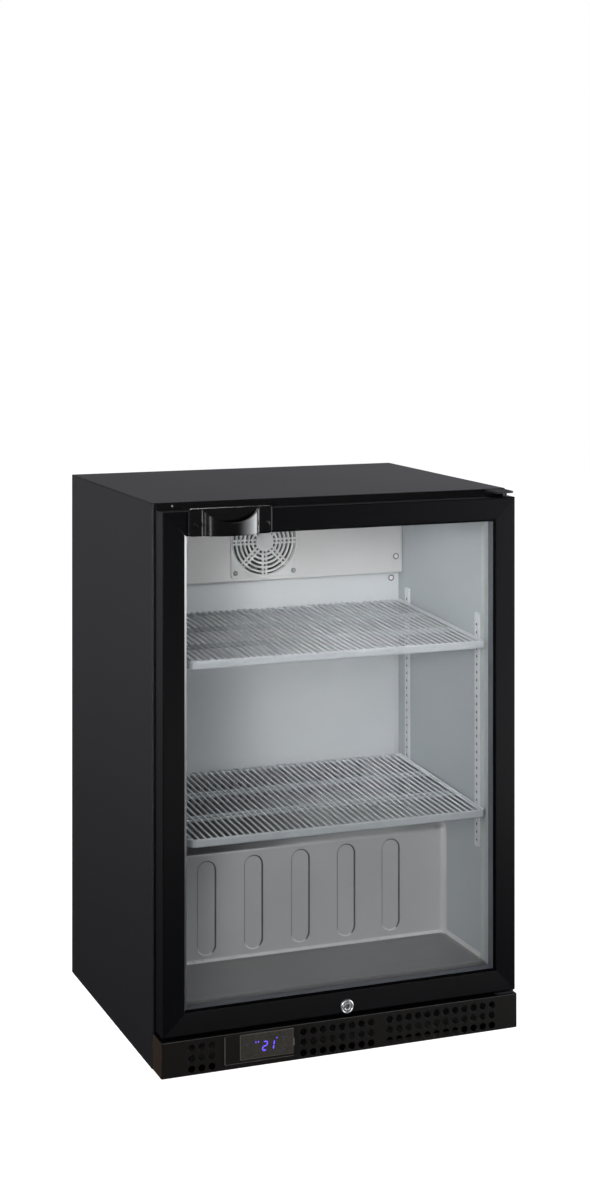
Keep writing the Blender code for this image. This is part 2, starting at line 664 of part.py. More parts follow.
# cam lock
bm = new()
cylinder(bm, LOCK_X, LOCK_Z, LOCK_R, "y", dy0 - 1.0, -21.5, 20)
barrel = piece("lock_barrel", bm, CHROME, parent="door_pivot", smooth=40)
bm = new()
turned(bm, [(LOCK_FLANGE_R, dy0 - GAP), (LOCK_FLANGE_R, dy0 - 2.0), (LOCK_FLANGE_R - 1.5, dy0 - 3.5)],
       (LOCK_X, LOCK_Z), "y", 24)
fuse(barrel, bm, "flange", parent="door_pivot")
bm = new()
cylinder(bm, LOCK_X, LOCK_Z, LOCK_PLUG_R + GAP, "y", dy0 - 8.0, -15.0, 20)
cut(barrel, bm, "bore", parent="door_pivot")

bm = new()
cylinder(bm, LOCK_X, LOCK_Z, LOCK_PLUG_R, "y", dy0 - 3.8, -19.3, 20)
plug = piece("lock_plug", bm, CHROME, parent="lock_axis", origin=(LOCK_X, dy0, LOCK_Z), smooth=40)
bm = new()
box(bm, LOCK_X - 1.0, LOCK_X + 1.0, dy0 - 6.0, dy0 + 8.0, LOCK_Z - 3.6, LOCK_Z + 3.6)
bmesh.ops.rotate(bm, verts=bm.verts[:], cent=Vector((LOCK_X, 0.0, LOCK_Z)),
                 matrix=Matrix.Rotation(math.radians(45.0), 3, "Y"))
cut(plug, bm, "keyway", parent="lock_axis")
bm = new()
prism(bm, [(LOCK_X - 5.0, LOCK_Z - 4.0), (LOCK_X - 2.0, LOCK_Z - 6.0), (LOCK_X + 24.0, LOCK_Z - 5.0),
           (LOCK_X + 26.0, LOCK_Z), (LOCK_X + 24.0, LOCK_Z + 5.0), (LOCK_X - 2.0, LOCK_Z + 6.0),
           (LOCK_X - 5.0, LOCK_Z + 4.0)], "y", -19.0, -16.5)
piece("lock_cam", bm, STEEL, parent="lock_axis", origin=(LOCK_X, dy0, LOCK_Z))

# ---------------------------------------------------------------- hinges
plate = [(262.0, -GAP), (264.5, -36.0), (268.0, -40.0), (292.0, -40.0), (296.5, -36.0), (298.0, -GAP)]
for label, z0, z1, f_low, f_high, p0, p1 in (
        ("top", 858.0, 861.0, 841.5, 860.0, dz1 - 14.0, 859.0),
        ("bottom", KICK_Z + 0.6, KICK_Z + 3.4, KICK_Z + 1.5, 73.0, KICK_Z + 2.0, dz0 + 14.0)):
    bm = new()
    prism(bm, plate, "z", z0, z1)
    bracket = piece("hinge_bracket_" + label, bm, BLACK)
    bm = new()
    box(bm, 236.0, 298.0, -2.3, -GAP, f_low, f_high)
    fuse(bracket, bm, "flange")
    bm = new()
    cylinder(bm, PIVOT[0], PIVOT[1], PIN_R, "z", p0, p1, 16)
    fuse(bracket, bm, "pin")

# ---------------------------------------------------------------- kick panel
bm = new()
box(bm, -KICK_X, KICK_X, KICK_Y, -GAP, 0.0, KICK_Z)
kick = piece("kick_panel", bm, BLACK)
bm = new()
box(bm, -KICK_X + SHEET, KICK_X - SHEET, KICK_Y + SHEET, 20.0, SHEET, KICK_Z - SHEET)
cut(kick, bm, "inside")
bm = new()
for x0, cols in HOLE_BLOCKS:
    for c in range(cols):
        for z in HOLE_ROWS:
            cylinder(bm, x0 + HOLE_PITCH * c, z, HOLE_R, "y", KICK_Y - 2.0, KICK_Y + 3.0, 8, math.pi / 8)
cut(kick, bm, "holes")
cx0, cx1 = CTRL_X
bm = new()
box(bm, cx0 + 3.7, cx1 - 3.7, KICK_Y - 2.0, KICK_Y + 3.0, CTRL_Z[0] + 3.7, CTRL_Z[1] - 3.7)
cut(kick, bm, "controller")
bm = new()
box(bm, LOCK_X - 9.0, LOCK_X + 29.0, -21.5, -13.5, KICK_Z - 4.0, KICK_Z + 4.0)
cut(kick, bm, "cam")

# controller: bezel in front of the panel, body behind it
bm = new()
box(bm, cx0, cx1, KICK_Y - 2.4, KICK_Y - GAP, CTRL_Z[0], CTRL_Z[1])
ctrl = piece("controller", bm, DARK_PLASTIC)
bm = new()
box(bm, cx0 + 4.0, cx1 - 4.0, KICK_Y - 1.0, -6.0, CTRL_Z[0] + 4.0, CTRL_Z[1] - 4.0)
fuse(ctrl, bm, "body")
plain_box("controller_display", (cx0 + 25.0, cx1 - 0.8, KICK_Y - 3.2, KICK_Y - 2.7, CTRL_Z[0] + 0.8, CTRL_Z[1] - 0.8),
          ((0.01, 0.01, 0.02), 0.1, 0.0))

# ---------------------------------------------------------------- machinery
COMP = (135.0, 335.0)
bm = new()
turned(bm, [(58.0, 14.0), (78.0, 22.0), (86.0, 40.0), (86.0, 96.0), (91.0, 97.0), (91.0, 104.0), (86.0, 105.0),
            (83.0, 132.0), (68.0, 152.0), (40.0, 163.0), (0.0, 166.0)], COMP, "z", 24)
comp = piece("compressor", bm, BLACK, smooth=35)
bm = new()
box(bm, COMP[0] - 105.0, COMP[0] + 105.0, COMP[1] - 62.0, COMP[1] + 62.0, 12.0, 15.0)
fuse(comp, bm, "base")
for k in range(4):
    bm = new()
    cylinder(bm, COMP[0] + (-92.0 if k % 2 else 92.0), COMP[1] + (-50.0 if k < 2 else 50.0), 10.0, "z", 2.1, 13.0, 10)
    fuse(comp, bm, "grommet%d" % k)

bm = new()
prism(bm, comb(215.0, 445.0, 8.0, 212.0, 8.0, 18, 6.0), "x", -287.0, -232.0)
piece("condenser", bm, BLACK)

CFAN = (330.0, 112.0)           # y, z of the condenser fan's axis
bm = new()
cylinder(bm, CFAN[0], CFAN[1], 30.0, "x", -184.0, -144.0, 20)
cmot = piece("condenser_fan_motor", bm, STEEL, smooth=40)
bm = new()
box(bm, -152.0, -147.0, CFAN[0] - 26.0, CFAN[0] + 26.0, 2.1, CFAN[1])
fuse(cmot, bm, "stand")
bm = new()
box(bm, -175.0, -120.0, CFAN[0] - 26.0, CFAN[0] + 26.0, 2.1, 5.0)
fuse(cmot, bm, "stand_foot")
blade_wheel("condenser_fan_blade", CFAN, "x", 18.0, 88.0, -220.0, -190.0, 4, 30.0, DARK_PLASTIC)

tray = plain_box("evaporation_tray", (COMP[0] - 78.0, COMP[0] + 78.0, COMP[1] - 60.0, COMP[1] + 60.0, 168.0, 192.0), DARK_PLASTIC)
bm = new()
box(bm, COMP[0] - 75.5, COMP[0] + 75.5, COMP[1] - 57.5, COMP[1] + 57.5, 170.5, 200.0)
cut(tray, bm, "inside")

bm = new()
turned(bm, [(3.0, 30.0), (4.0, 42.0), (12.0, 52.0), (12.0, 128.0), (4.0, 138.0), (3.0, 150.0)], (-20.0, 420.0), "z", 14)
piece("filter_drier", bm, COPPER, smooth=40)

inlet = plain_box("mains_inlet", (INLET_X - 21.0, INLET_X + 21.0, CAB_D - 28.0, CAB_D + 1.0, INLET_Z - 14.0, INLET_Z + 14.0), DARK_PLASTIC)
bm = new()
box(bm, INLET_X - 27.0, INLET_X + 27.0, CAB_D - 0.2, REAR_MAX, INLET_Z - 17.0, INLET_Z + 17.0)
fuse(inlet, bm, "flange")
bm = new()
prism(bm, [(INLET_X - 12.0, INLET_Z - 8.5), (INLET_X + 12.0, INLET_Z - 8.5), (INLET_X + 12.0, INLET_Z + 4.0),
           (INLET_X + 7.0, INLET_Z + 8.5), (INLET_X - 7.0, INLET_Z + 8.5), (INLET_X - 12.0, INLET_Z + 4.0)],
      "y", CAB_D - 16.0, CAB_D + 10.0)
cut(inlet, bm, "socket")
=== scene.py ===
import math

import bmesh
import bpy
from mathutils import Matrix, Vector


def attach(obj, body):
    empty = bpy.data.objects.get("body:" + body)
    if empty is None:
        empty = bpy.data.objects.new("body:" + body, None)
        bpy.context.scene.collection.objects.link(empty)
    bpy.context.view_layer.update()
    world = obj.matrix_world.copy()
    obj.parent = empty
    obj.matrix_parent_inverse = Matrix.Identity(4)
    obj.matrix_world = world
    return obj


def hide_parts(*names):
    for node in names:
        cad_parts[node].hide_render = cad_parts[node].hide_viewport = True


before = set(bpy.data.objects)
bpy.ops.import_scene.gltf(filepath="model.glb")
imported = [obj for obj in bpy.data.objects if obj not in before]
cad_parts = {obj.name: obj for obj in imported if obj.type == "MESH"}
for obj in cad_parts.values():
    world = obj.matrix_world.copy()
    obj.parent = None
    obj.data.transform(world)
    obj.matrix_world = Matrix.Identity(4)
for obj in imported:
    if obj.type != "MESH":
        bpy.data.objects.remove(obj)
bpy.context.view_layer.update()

scene = bpy.context.scene
scene.view_settings.view_transform = "Standard"
scene.view_settings.look = "None"

# Shapes are drawn in millimetres: x = 0 in the middle, y = 0 on the cabinet's
# front plane with +y to the back, z = 0 at the lower edge of the side panels.
SHIFT = Vector((0.0, -202.75, 2.0))
MM = 0.001
PI = math.pi

# ------------------------------------------------------------------ camera
cam_data = bpy.data.cameras.new("camera")
cam_data.lens = 61.876
cam_data.sensor_width = 36.0
cam_data.shift_x = 0.0
cam_data.shift_y = -0.2767
cam = bpy.data.objects.new("camera", cam_data)
cam.location = (-1.23291, -3.20810, 1.22202)
cam.rotation_euler = (math.radians(90.0), 0.0, math.radians(-21.206))
scene.collection.objects.link(cam)
scene.camera = cam


# ------------------------------------------------------------------ materials
def nodes_of(name):
    mat = bpy.data.materials.new(name)
    mat.use_nodes = True
    return mat, mat.node_tree.nodes, mat.node_tree.links


def shade(colour, factor):
    return (min(colour[0] * factor, 1.0), min(colour[1] * factor, 1.0), min(colour[2] * factor, 1.0), 1.0)


def finish(name, base, rough, metal=0.0, spec=0.5, vary=0.12, scale=18.0, stretch=(1, 1, 1),
           rough_vary=0.05, bump=0.05, bump_scale=900.0, bump_stretch=(1, 1, 1), coat=0.0,
           coat_rough=0.1, second=None, ior=1.5, depth=0.0004, emit=None):
    """A surface with slow colour clouding, uneven gloss and a fine grain."""
    mat, n, l = nodes_of(name)
    b = n["Principled BSDF"]
    b.inputs["Metallic"].default_value = metal
    b.inputs["Specular IOR Level"].default_value = spec
    b.inputs["IOR"].default_value = ior
    b.inputs["Coat Weight"].default_value = coat
    b.inputs["Coat Roughness"].default_value = coat_rough
    if emit:
        b.inputs["Emission Color"].default_value = (emit[0], emit[1], emit[2], 1.0)
        b.inputs["Emission Strength"].default_value = emit[3]
    co = n.new("ShaderNodeTexCoord")
    m1 = n.new("ShaderNodeMapping")
    m1.inputs["Scale"].default_value = stretch
    l.new(co.outputs["Object"], m1.inputs["Vector"])
    cloud = n.new("ShaderNodeTexNoise")
    cloud.inputs["Scale"].default_value = scale
    cloud.inputs["Detail"].default_value = 4.0
    l.new(m1.outputs["Vector"], cloud.inputs["Vector"])
    ramp = n.new("ShaderNodeValToRGB")
    ramp.color_ramp.elements[0].position = 0.3
    ramp.color_ramp.elements[1].position = 0.7
    ramp.color_ramp.elements[0].color = shade(base, 1.0 - vary)
    ramp.color_ramp.elements[1].color = shade(second or base, 1.0 + vary)
    l.new(cloud.outputs["Fac"], ramp.inputs["Fac"])
    l.new(ramp.outputs["Color"], b.inputs["Base Color"])
    m2 = n.new("ShaderNodeMapping")
    m2.inputs["Scale"].default_value = bump_stretch
    l.new(co.outputs["Object"], m2.inputs["Vector"])
    grain = n.new("ShaderNodeTexNoise")
    grain.inputs["Scale"].default_value = bump_scale
    grain.inputs["Detail"].default_value = 3.0
    l.new(m2.outputs["Vector"], grain.inputs["Vector"])
    span = n.new("ShaderNodeMapRange")
    span.inputs["From Min"].default_value = 0.3
    span.inputs["From Max"].default_value = 0.7
    span.inputs["To Min"].default_value = max(rough - rough_vary, 0.02)
    span.inputs["To Max"].default_value = min(rough + rough_vary, 1.0)
    l.new(grain.outputs["Fac"], span.inputs["Value"])
    l.new(span.outputs["Result"], b.inputs["Roughness"])
    bp = n.new("ShaderNodeBump")
    bp.inputs["Strength"].default_value = bump
    bp.inputs["Distance"].default_value = depth
    l.new(grain.outputs["Fac"], bp.inputs["Height"])
    l.new(bp.outputs["Normal"], b.inputs["Normal"])
    return mat


def shadowed(mat, x0, x1, steps, axis, z0, z1, beyond):
    """Painted shade: darkens a finish's colour along x, and goes over to other steps between two places on another
    axis.
    """
    n, l = mat.node_tree.nodes, mat.node_tree.links
    b = n["Principled BSDF"]
    colour = b.inputs["Base Color"].links[0].from_socket
    co = n.new("ShaderNodeTexCoord")
    sep = n.new("ShaderNodeSeparateXYZ")
    l.new(co.outputs["Object"], sep.inputs["Vector"])
    across = n.new("ShaderNodeMapRange")
    across.inputs["From Min"].default_value = x0
    across.inputs["From Max"].default_value = x1
    l.new(sep.outputs["X"], across.inputs["Value"])
    fade = n.new("ShaderNodeMix")
    fade.data_type = "RGBA"
    for socket, marks in ((6, steps), (7, beyond)):
        ramp = n.new("ShaderNodeValToRGB")
        for pos, val in marks:
            e = ramp.color_ramp.elements.new(pos) if pos not in (0.0, 1.0) else ramp.color_ramp.elements[0 if pos == 0.0 else -1]
            e.color = (val, val, val, 1.0)
        l.new(across.outputs["Result"], ramp.inputs["Fac"])
        l.new(ramp.outputs["Color"], fade.inputs[socket])
    up = n.new("ShaderNodeMapRange")
    up.inputs["From Min"].default_value = z0
    up.inputs["From Max"].default_value = z1
    l.new(sep.outputs[axis], up.inputs["Value"])
    l.new(up.outputs["Result"], fade.inputs[0])
    mul = n.new("ShaderNodeMix")
    mul.data_type = "RGBA"
    mul.blend_type = "MULTIPLY"
    mul.inputs[0].default_value = 1.0
    l.new(colour, mul.inputs[6])
    l.new(fade.outputs[2], mul.inputs[7])
    l.new(mul.outputs[2], b.inputs["Base Color"])
    return mat


def spangle(name, base, rough):
    """Hot-dip zinc: crystals of slightly different grey."""
    mat, n, l = nodes_of(name)
    b = n["Principled BSDF"]
    b.inputs["Metallic"].default_value = 0.85
    co = n.new("ShaderNodeTexCoord")
    v = n.new("ShaderNodeTexVoronoi")
    v.inputs["Scale"].default_value = 95.0
    l.new(co.outputs["Object"], v.inputs["Vector"])
    sep = n.new("ShaderNodeSeparateColor")
    l.new(v.outputs["Color"], sep.inputs["Color"])
    ramp = n.new("ShaderNodeValToRGB")
    ramp.color_ramp.elements[0].color = shade(base, 0.78)
    ramp.color_ramp.elements[1].color = shade(base, 1.18)
    l.new(sep.outputs["Red"], ramp.inputs["Fac"])
    l.new(ramp.outputs["Color"], b.inputs["Base Color"])
    span = n.new("ShaderNodeMapRange")
    span.inputs["To Min"].default_value = rough - 0.1
    span.inputs["To Max"].default_value = rough + 0.12
    l.new(sep.outputs["Green"], span.inputs["Value"])
    l.new(span.outputs["Result"], b.inputs["Roughness"])
    g = n.new("ShaderNodeTexNoise")
    g.inputs["Scale"].default_value = 420.0
    l.new(co.outputs["Object"], g.inputs["Vector"])
    bp = n.new("ShaderNodeBump")
    bp.inputs["Strength"].default_value = 0.06
    bp.inputs["Distance"].default_value = 0.0004
    l.new(g.outputs["Fac"], bp.inputs["Height"])
    l.new(bp.outputs["Normal"], b.inputs["Normal"])
    return mat


def pane(name, tint):
    """Clear float glass: mostly let through, mirror-like at a slant."""
    mat, n, l = nodes_of(name)
    n.remove(n["Principled BSDF"])
    through = n.new("ShaderNodeBsdfTransparent")
    through.inputs["Color"].default_value = (tint[0], tint[1], tint[2], 1.0)
    gloss = n.new("ShaderNodeBsdfGlossy")
    gloss.inputs["Roughness"].default_value = 0.01
    gloss.inputs["Color"].default_value = (0.95, 0.97, 0.97, 1.0)
    lw = n.new("ShaderNodeLayerWeight")
    lw.inputs["Blend"].default_value = 0.5
    p = n.new("ShaderNodeMath")
    p.operation = "POWER"
    p.inputs[1].default_value = 5.0
    l.new(lw.outputs["Facing"], p.inputs[0])
    ma = n.new("ShaderNodeMath")
    ma.operation = "MULTIPLY_ADD"
    ma.inputs[1].default_value = 0.96
    ma.inputs[2].default_value = 0.04
    l.new(p.outputs[0], ma.inputs[0])
    mix = n.new("ShaderNodeMixShader")
    l.new(ma.outputs[0], mix.inputs["Fac"])
    l.new(through.outputs[0], mix.inputs[1])
    l.new(gloss.outputs[0], mix.inputs[2])
    l.new(mix.outputs[0], n["Material Output"].inputs["Surface"])
    return mat


def perforated(name, base, dark, pitch):
    """Spacer bar of insulating glass: satin aluminium with a row of tiny holes."""
    mat, n, l = nodes_of(name)
    b = n["Principled BSDF"]
    b.inputs["Metallic"].default_value = 0.55
    co = n.new("ShaderNodeTexCoord")
    sep = n.new("ShaderNodeSeparateXYZ")
    l.new(co.outputs["Object"], sep.inputs["Vector"])
    add = n.new("ShaderNodeMath")
    add.operation = "ADD"
    l.new(sep.outputs["X"], add.inputs[0])
    l.new(sep.outputs["Z"], add.inputs[1])
    both = n.new("ShaderNodeCombineXYZ")
    l.new(add.outputs[0], both.inputs["X"])
    l.new(sep.outputs["Y"], both.inputs["Y"])
    v = n.new("ShaderNodeTexVoronoi")
    v.voronoi_dimensions = "2D"
    v.inputs["Scale"].default_value = 1.0 / pitch
    v.inputs["Randomness"].default_value = 0.0
    l.new(both.outputs["Vector"], v.inputs["Vector"])
    ramp = n.new("ShaderNodeValToRGB")
    ramp.color_ramp.elements[0].position = 0.22
    ramp.color_ramp.elements[1].position = 0.34
    ramp.color_ramp.elements[0].color = (dark[0], dark[1], dark[2], 1.0)
    ramp.color_ramp.elements[1].color = (base[0], base[1], base[2], 1.0)
    l.new(v.outputs["Distance"], ramp.inputs["Fac"])
    l.new(ramp.outputs["Color"], b.inputs["Base Color"])
    g = n.new("ShaderNodeTexNoise")
    g.inputs["Scale"].default_value = 600.0
    l.new(co.outputs["Object"], g.inputs["Vector"])
    span = n.new("ShaderNodeMapRange")
    span.inputs["To Min"].default_value = 0.34
    span.inputs["To Max"].default_value = 0.5
    l.new(g.outputs["Fac"], span.inputs["Value"])
    l.new(span.outputs["Result"], b.inputs["Roughness"])
    bp = n.new("ShaderNodeBump")
    bp.inputs["Strength"].default_value = 0.4
    bp.inputs["Distance"].default_value = 0.0005
    l.new(v.outputs["Distance"], bp.inputs["Height"])
    l.new(bp.outputs["Normal"], b.inputs["Normal"])
    return mat


def painted_glow(name, base, low, high, steps):
    """Painted glow: a part that is no lamp gives off light, brighter towards its upper end."""
    mat = finish(name, base, 0.35, vary=0.06, scale=60.0, stretch=(1, 1, 0.2), bump=0.04, bump_scale=700.0)
    n, l = mat.node_tree.nodes, mat.node_tree.links
    b = n["Principled BSDF"]
    co = n.new("ShaderNodeTexCoord")
    sep = n.new("ShaderNodeSeparateXYZ")
    l.new(co.outputs["Object"], sep.inputs["Vector"])
    span = n.new("ShaderNodeMapRange")
    span.inputs["From Min"].default_value = low
    span.inputs["From Max"].default_value = high
    l.new(sep.outputs["Z"], span.inputs["Value"])
    ramp = n.new("ShaderNodeValToRGB")
    for pos, val in steps:
        e = ramp.color_ramp.elements.new(pos) if pos not in (0.0, 1.0) else ramp.color_ramp.elements[0 if pos == 0.0 else -1]
        e.color = (val, val, val, 1.0)
    l.new(span.outputs["Result"], ramp.inputs["Fac"])
    l.new(ramp.outputs["Color"], b.inputs["Emission Color"])
    b.inputs["Emission Strength"].default_value = 1.0
    return mat


def turned_metal(name, base, rough, centre):
    """Lathe-cut bright metal: fine rings about a front-back axis."""
    mat, n, l = nodes_of(name)
    b = n["Principled BSDF"]
    b.inputs["Metallic"].default_value = 1.0
    co = n.new("ShaderNodeTexCoord")
    mp = n.new("ShaderNodeMapping")
    c = (Vector((centre[0], 0.0, centre[1])) + SHIFT) * MM
    mp.inputs["Location"].default_value = (-c.x, 0.0, -c.z)
    l.new(co.outputs["Object"], mp.inputs["Vector"])
    w = n.new("ShaderNodeTexWave")
    w.wave_type = "RINGS"
    w.rings_direction = "Y"
    w.inputs["Scale"].default_value = 900.0
    w.inputs["Distortion"].default_value = 1.5
    l.new(mp.outputs["Vector"], w.inputs["Vector"])
    ramp = n.new("ShaderNodeValToRGB")
    ramp.color_ramp.elements[0].color = shade(base, 0.9)
    ramp.color_ramp.elements[1].color = shade(base, 1.05)
    l.new(w.outputs["Fac"], ramp.inputs["Fac"])
    l.new(ramp.outputs["Color"], b.inputs["Base Color"])
    span = n.new("ShaderNodeMapRange")
    span.inputs["To Min"].default_value = rough * 0.7
    span.inputs["To Max"].default_value = rough * 1.4
    l.new(w.outputs["Fac"], span.inputs["Value"])
    l.new(span.outputs["Result"], b.inputs["Roughness"])
    bp = n.new("ShaderNodeBump")
    bp.inputs["Strength"].default_value = 0.05
    bp.inputs["Distance"].default_value = 0.0002
    l.new(w.outputs["Fac"], bp.inputs["Height"])
    l.new(bp.outputs["Normal"], b.inputs["Normal"])
    return mat


PAINT = finish("paint_black", (0.0145, 0.0145, 0.0165), 0.46, spec=0.45, vary=0.06, scale=6.0, rough_vary=0.04,
               bump=0.10, bump_scale=1100.0)
PAINT_LOW = finish("paint_black_low", (0.0105, 0.0096, 0.0088), 0.46, spec=0.35, vary=0.08, scale=9.0, rough_vary=0.05,
                   bump=0.12, bump_scale=1100.0)
PAINT_WARM_LIGHT = finish("paint_black_painted_warm_light", (0.041, 0.0265, 0.0165), 0.46, spec=0.3, vary=0.10, scale=20.0, bump=0.12, bump_scale=1100.0)
PAINT_EDGE_HIGHLIGHT = finish("paint_edge_painted_highlight", (0.075, 0.073, 0.070), 0.36, spec=0.5, vary=0.15, scale=40.0, bump=0.10, bump_scale=1100.0)
FRAME_V = finish("door_profile_upright", (0.0040, 0.0039, 0.0050), 0.34, spec=0.3, vary=0.18, scale=26.0,
                 stretch=(8, 8, 0.25), rough_vary=0.05, bump=0.05, bump_scale=700.0, bump_stretch=(3, 3, 0.05))
FRAME_H = finish("door_profile_level", (0.0040, 0.0039, 0.0050), 0.34, spec=0.3, vary=0.18, scale=26.0,
                 stretch=(0.25, 8, 8), rough_vary=0.05, bump=0.05, bump_scale=700.0, bump_stretch=(0.05, 3, 3))
RING = finish("ring_black", (0.0022, 0.0022, 0.0026), 0.6, spec=0.12, vary=0.15, bump=0.08, bump_scale=1400.0)
BREAKER = finish("breaker_strip", (0.575, 0.60, 0.60), 0.5, spec=0.4, vary=0.04, scale=12.0, bump=0.06, bump_scale=1500.0)
GLOSS = finish("handle_black", (0.0014, 0.0014, 0.0017), 0.17, spec=0.5, vary=0.1, rough_vary=0.03, bump=0.02,
               bump_scale=500.0, bump_stretch=(0.1, 1, 1), ior=1.7, coat=0.4, coat_rough=0.12)
LINER = finish("liner_metal", (0.785, 0.80, 0.815), 0.5, metal=0.15, vary=0.04, scale=5.0, stretch=(1, 1, 1), rough_vary=0.05,
               bump=0.04, bump_scale=500.0, bump_stretch=(1, 1, 0.03))
# side walls of the liner: a darker copy of the liner colour, painted shade
LINER_SIDE_SHADE = finish("liner_side_metal_painted_shade", (0.53, 0.56, 0.585), 0.5, metal=0.1, spec=0.3, vary=0.04, scale=5.0, rough_vary=0.05,
                    bump=0.04, bump_scale=500.0, bump_stretch=(1, 1, 0.03))
PAN = finish("pan_metal", (0.72, 0.71, 0.715), 0.42, metal=0.25, vary=0.05, scale=7.0, rough_vary=0.05,
             bump=0.05, bump_scale=420.0, bump_stretch=(0.03, 1, 1))
# floor of the pan and the breaker strip's sill: a darker copy of the pan metal, painted shade
PAN_FLOOR_SHADE = finish("pan_floor_metal_painted_shade", (0.325, 0.318, 0.318), 0.38, metal=0.35, vary=0.06, scale=7.0, rough_vary=0.05,
                   bump=0.05, bump_scale=420.0, bump_stretch=(0.03, 1, 1))
# painted shade: darkening steps along x, dark at the left
PAINTED_SHADE_STEPS = ((0.0, 0.2), (0.3, 0.34), (0.6, 0.85), (1.0, 1.0))
# hump top: painted shade, dark at the left
PAN_TOP_SHADE = shadowed(finish("pan_top_metal_painted_shade", (0.72, 0.71, 0.715), 0.42, metal=0.25, vary=0.05, scale=7.0, rough_vary=0.05,
                          bump=0.05, bump_scale=420.0, bump_stretch=(0.03, 1, 1)), -0.15, 0.25,
                   ((0.0, 0.15), (0.09, 0.25), (0.26, 0.5), (0.38, 0.9), (1.0, 1.0)), "Y", -0.040, 0.0, PAINTED_SHADE_STEPS)
# painted shade and painted highlight: dark and soft copies for obround walls and the rings under screw heads, a bright
# copy for upward obround walls, the bend under the hump and the liner screws
PAN_SHADE_DARK = finish("pan_painted_shade_dark", (0.17, 0.168, 0.17), 0.45, metal=0.25, vary=0.08, scale=30.0, bump=0.05, bump_scale=420.0)
PAN_SHADE_SOFT = finish("pan_painted_shade_soft", (0.34, 0.335, 0.34), 0.45, metal=0.25, vary=0.08, scale=30.0, bump=0.05, bump_scale=420.0)
PAN_PAINTED_HIGHLIGHT = finish("pan_painted_highlight", (0.95, 0.94, 0.94), 0.3, metal=0.2, vary=0.05, scale=30.0, bump=0.05, bump_scale=420.0)
# duct panel: painted shade along its lower part, dark at the left
DUCT_SHADE = shadowed(finish("duct_metal_painted_shade", (0.785, 0.80, 0.815), 0.5, metal=0.15, vary=0.04, scale=5.0, rough_vary=0.05,
                       bump=0.04, bump_scale=500.0, bump_stretch=(1, 1, 0.03)), -0.15, 0.25, PAINTED_SHADE_STEPS, "Z", 0.335, 0.362,
                ((0.0, 1.0), (1.0, 1.0)))
COVER = finish("cover_metal", (0.82, 0.802, 0.795), 0.46, metal=0.2, vary=0.04, scale=5.0, rough_vary=0.05,
               bump=0.04, bump_scale=500.0, bump_stretch=(0.03, 1, 1))
WIRE = finish("wire_coating", (0.70, 0.73, 0.755), 0.40, spec=0.45, vary=0.05, scale=60.0, bump=0.06, bump_scale=900.0)
# upper shelf: painted shade on the wires behind the lip, dark at the left
WIRE_UPPER_SHADE = shadowed(finish("wire_coating_upper_painted_shade", (0.70, 0.73, 0.755), 0.40, spec=0.45, vary=0.05, scale=60.0, bump=0.06,
                             bump_scale=900.0), -0.25, 0.02, ((0.0, 1.0), (1.0, 1.0)), "Y", -0.213, -0.203,
                      ((0.0, 0.42), (0.5, 0.66), (1.0, 1.0)))
GUARD = finish("guard_plastic", (0.78, 0.785, 0.78), 0.48, spec=0.4, vary=0.04, scale=40.0, bump=0.08, bump_scale=1800.0)
DARK = finish("dark_plastic", (0.018, 0.019, 0.019), 0.5, spec=0.4, vary=0.15, scale=40.0, bump=0.12, bump_scale=1600.0)
BEZEL = finish("bezel_plastic", (0.0125, 0.0105, 0.0090), 0.42, spec=0.4, vary=0.12, scale=60.0, bump=0.10, bump_scale=1800.0)
LENS = finish("display_window", (0.058, 0.053, 0.045), 0.28, spec=0.5, vary=0.10, scale=50.0, bump=0.02, bump_scale=900.0)
LENS_EDGE_AND_HIGHLIGHT = finish("display_window_edge_and_painted_highlight", (0.16, 0.155, 0.145), 0.3, spec=0.5, vary=0.08, scale=80.0, bump=0.02, bump_scale=900.0)
DIGIT = finish("display_digits", (0.10, 0.07, 0.5), 0.5, vary=0.05, scale=300.0, bump=0.02, emit=(0.13, 0.075, 1.0, 1.5))
ICON = finish("display_icons", (0.06, 0.055, 0.10), 0.5, vary=0.1, scale=300.0, bump=0.02, emit=(0.2, 0.15, 0.5, 0.05))
LAMP = finish("lamp_lens", (0.86, 0.86, 0.83), 0.4, vary=0.03, scale=30.0, bump=0.05, bump_scale=700.0,
              emit=(1.0, 0.98, 0.95, 7.5))
STEEL = finish("steel_bright", (0.46, 0.46, 0.47), 0.34, metal=0.9, vary=0.08, scale=60.0, bump=0.06, bump_scale=900.0,
               bump_stretch=(0.1, 1, 1))
SCREW = finish("screw_zinc", (0.60, 0.60, 0.59), 0.3, metal=0.9, vary=0.08, scale=200.0, bump=0.05, bump_scale=2000.0)
SCREW_DARK = finish("screw_black", (0.022, 0.022, 0.022), 0.22, metal=0.5, vary=0.1, scale=200.0, bump=0.05,
                    bump_scale=2000.0)
FAN_GREY = finish("fan_plastic", (0.14, 0.145, 0.15), 0.5, spec=0.4, vary=0.12, scale=40.0, bump=0.12, bump_scale=1600.0)
SLOT_SHADE = finish("slot_painted_shade", (0.05, 0.05, 0.056), 0.7, spec=0.1, vary=0.15, scale=60.0, bump=0.15, bump_scale=1500.0)
ZINC = spangle("zinc_sheet", (0.42, 0.43, 0.44), 0.42)
MACHINE = finish("machine_black", (0.013, 0.013, 0.014), 0.34, spec=0.5, vary=0.15, scale=30.0, bump=0.12, bump_scale=600.0)
FIN = finish("fin_metal", (0.50, 0.51, 0.52), 0.4, metal=0.8, vary=0.08, scale=80.0, bump=0.06, bump_scale=1200.0)
RUBBER = finish("gasket_rubber", (0.010, 0.010, 0.0105), 0.62, spec=0.3, vary=0.15, scale=50.0, bump=0.15, bump_scale=1500.0)
COPPER = finish("copper", (0.55, 0.26, 0.15), 0.34, metal=1.0, vary=0.12, scale=60.0, bump=0.05, bump_scale=900.0)
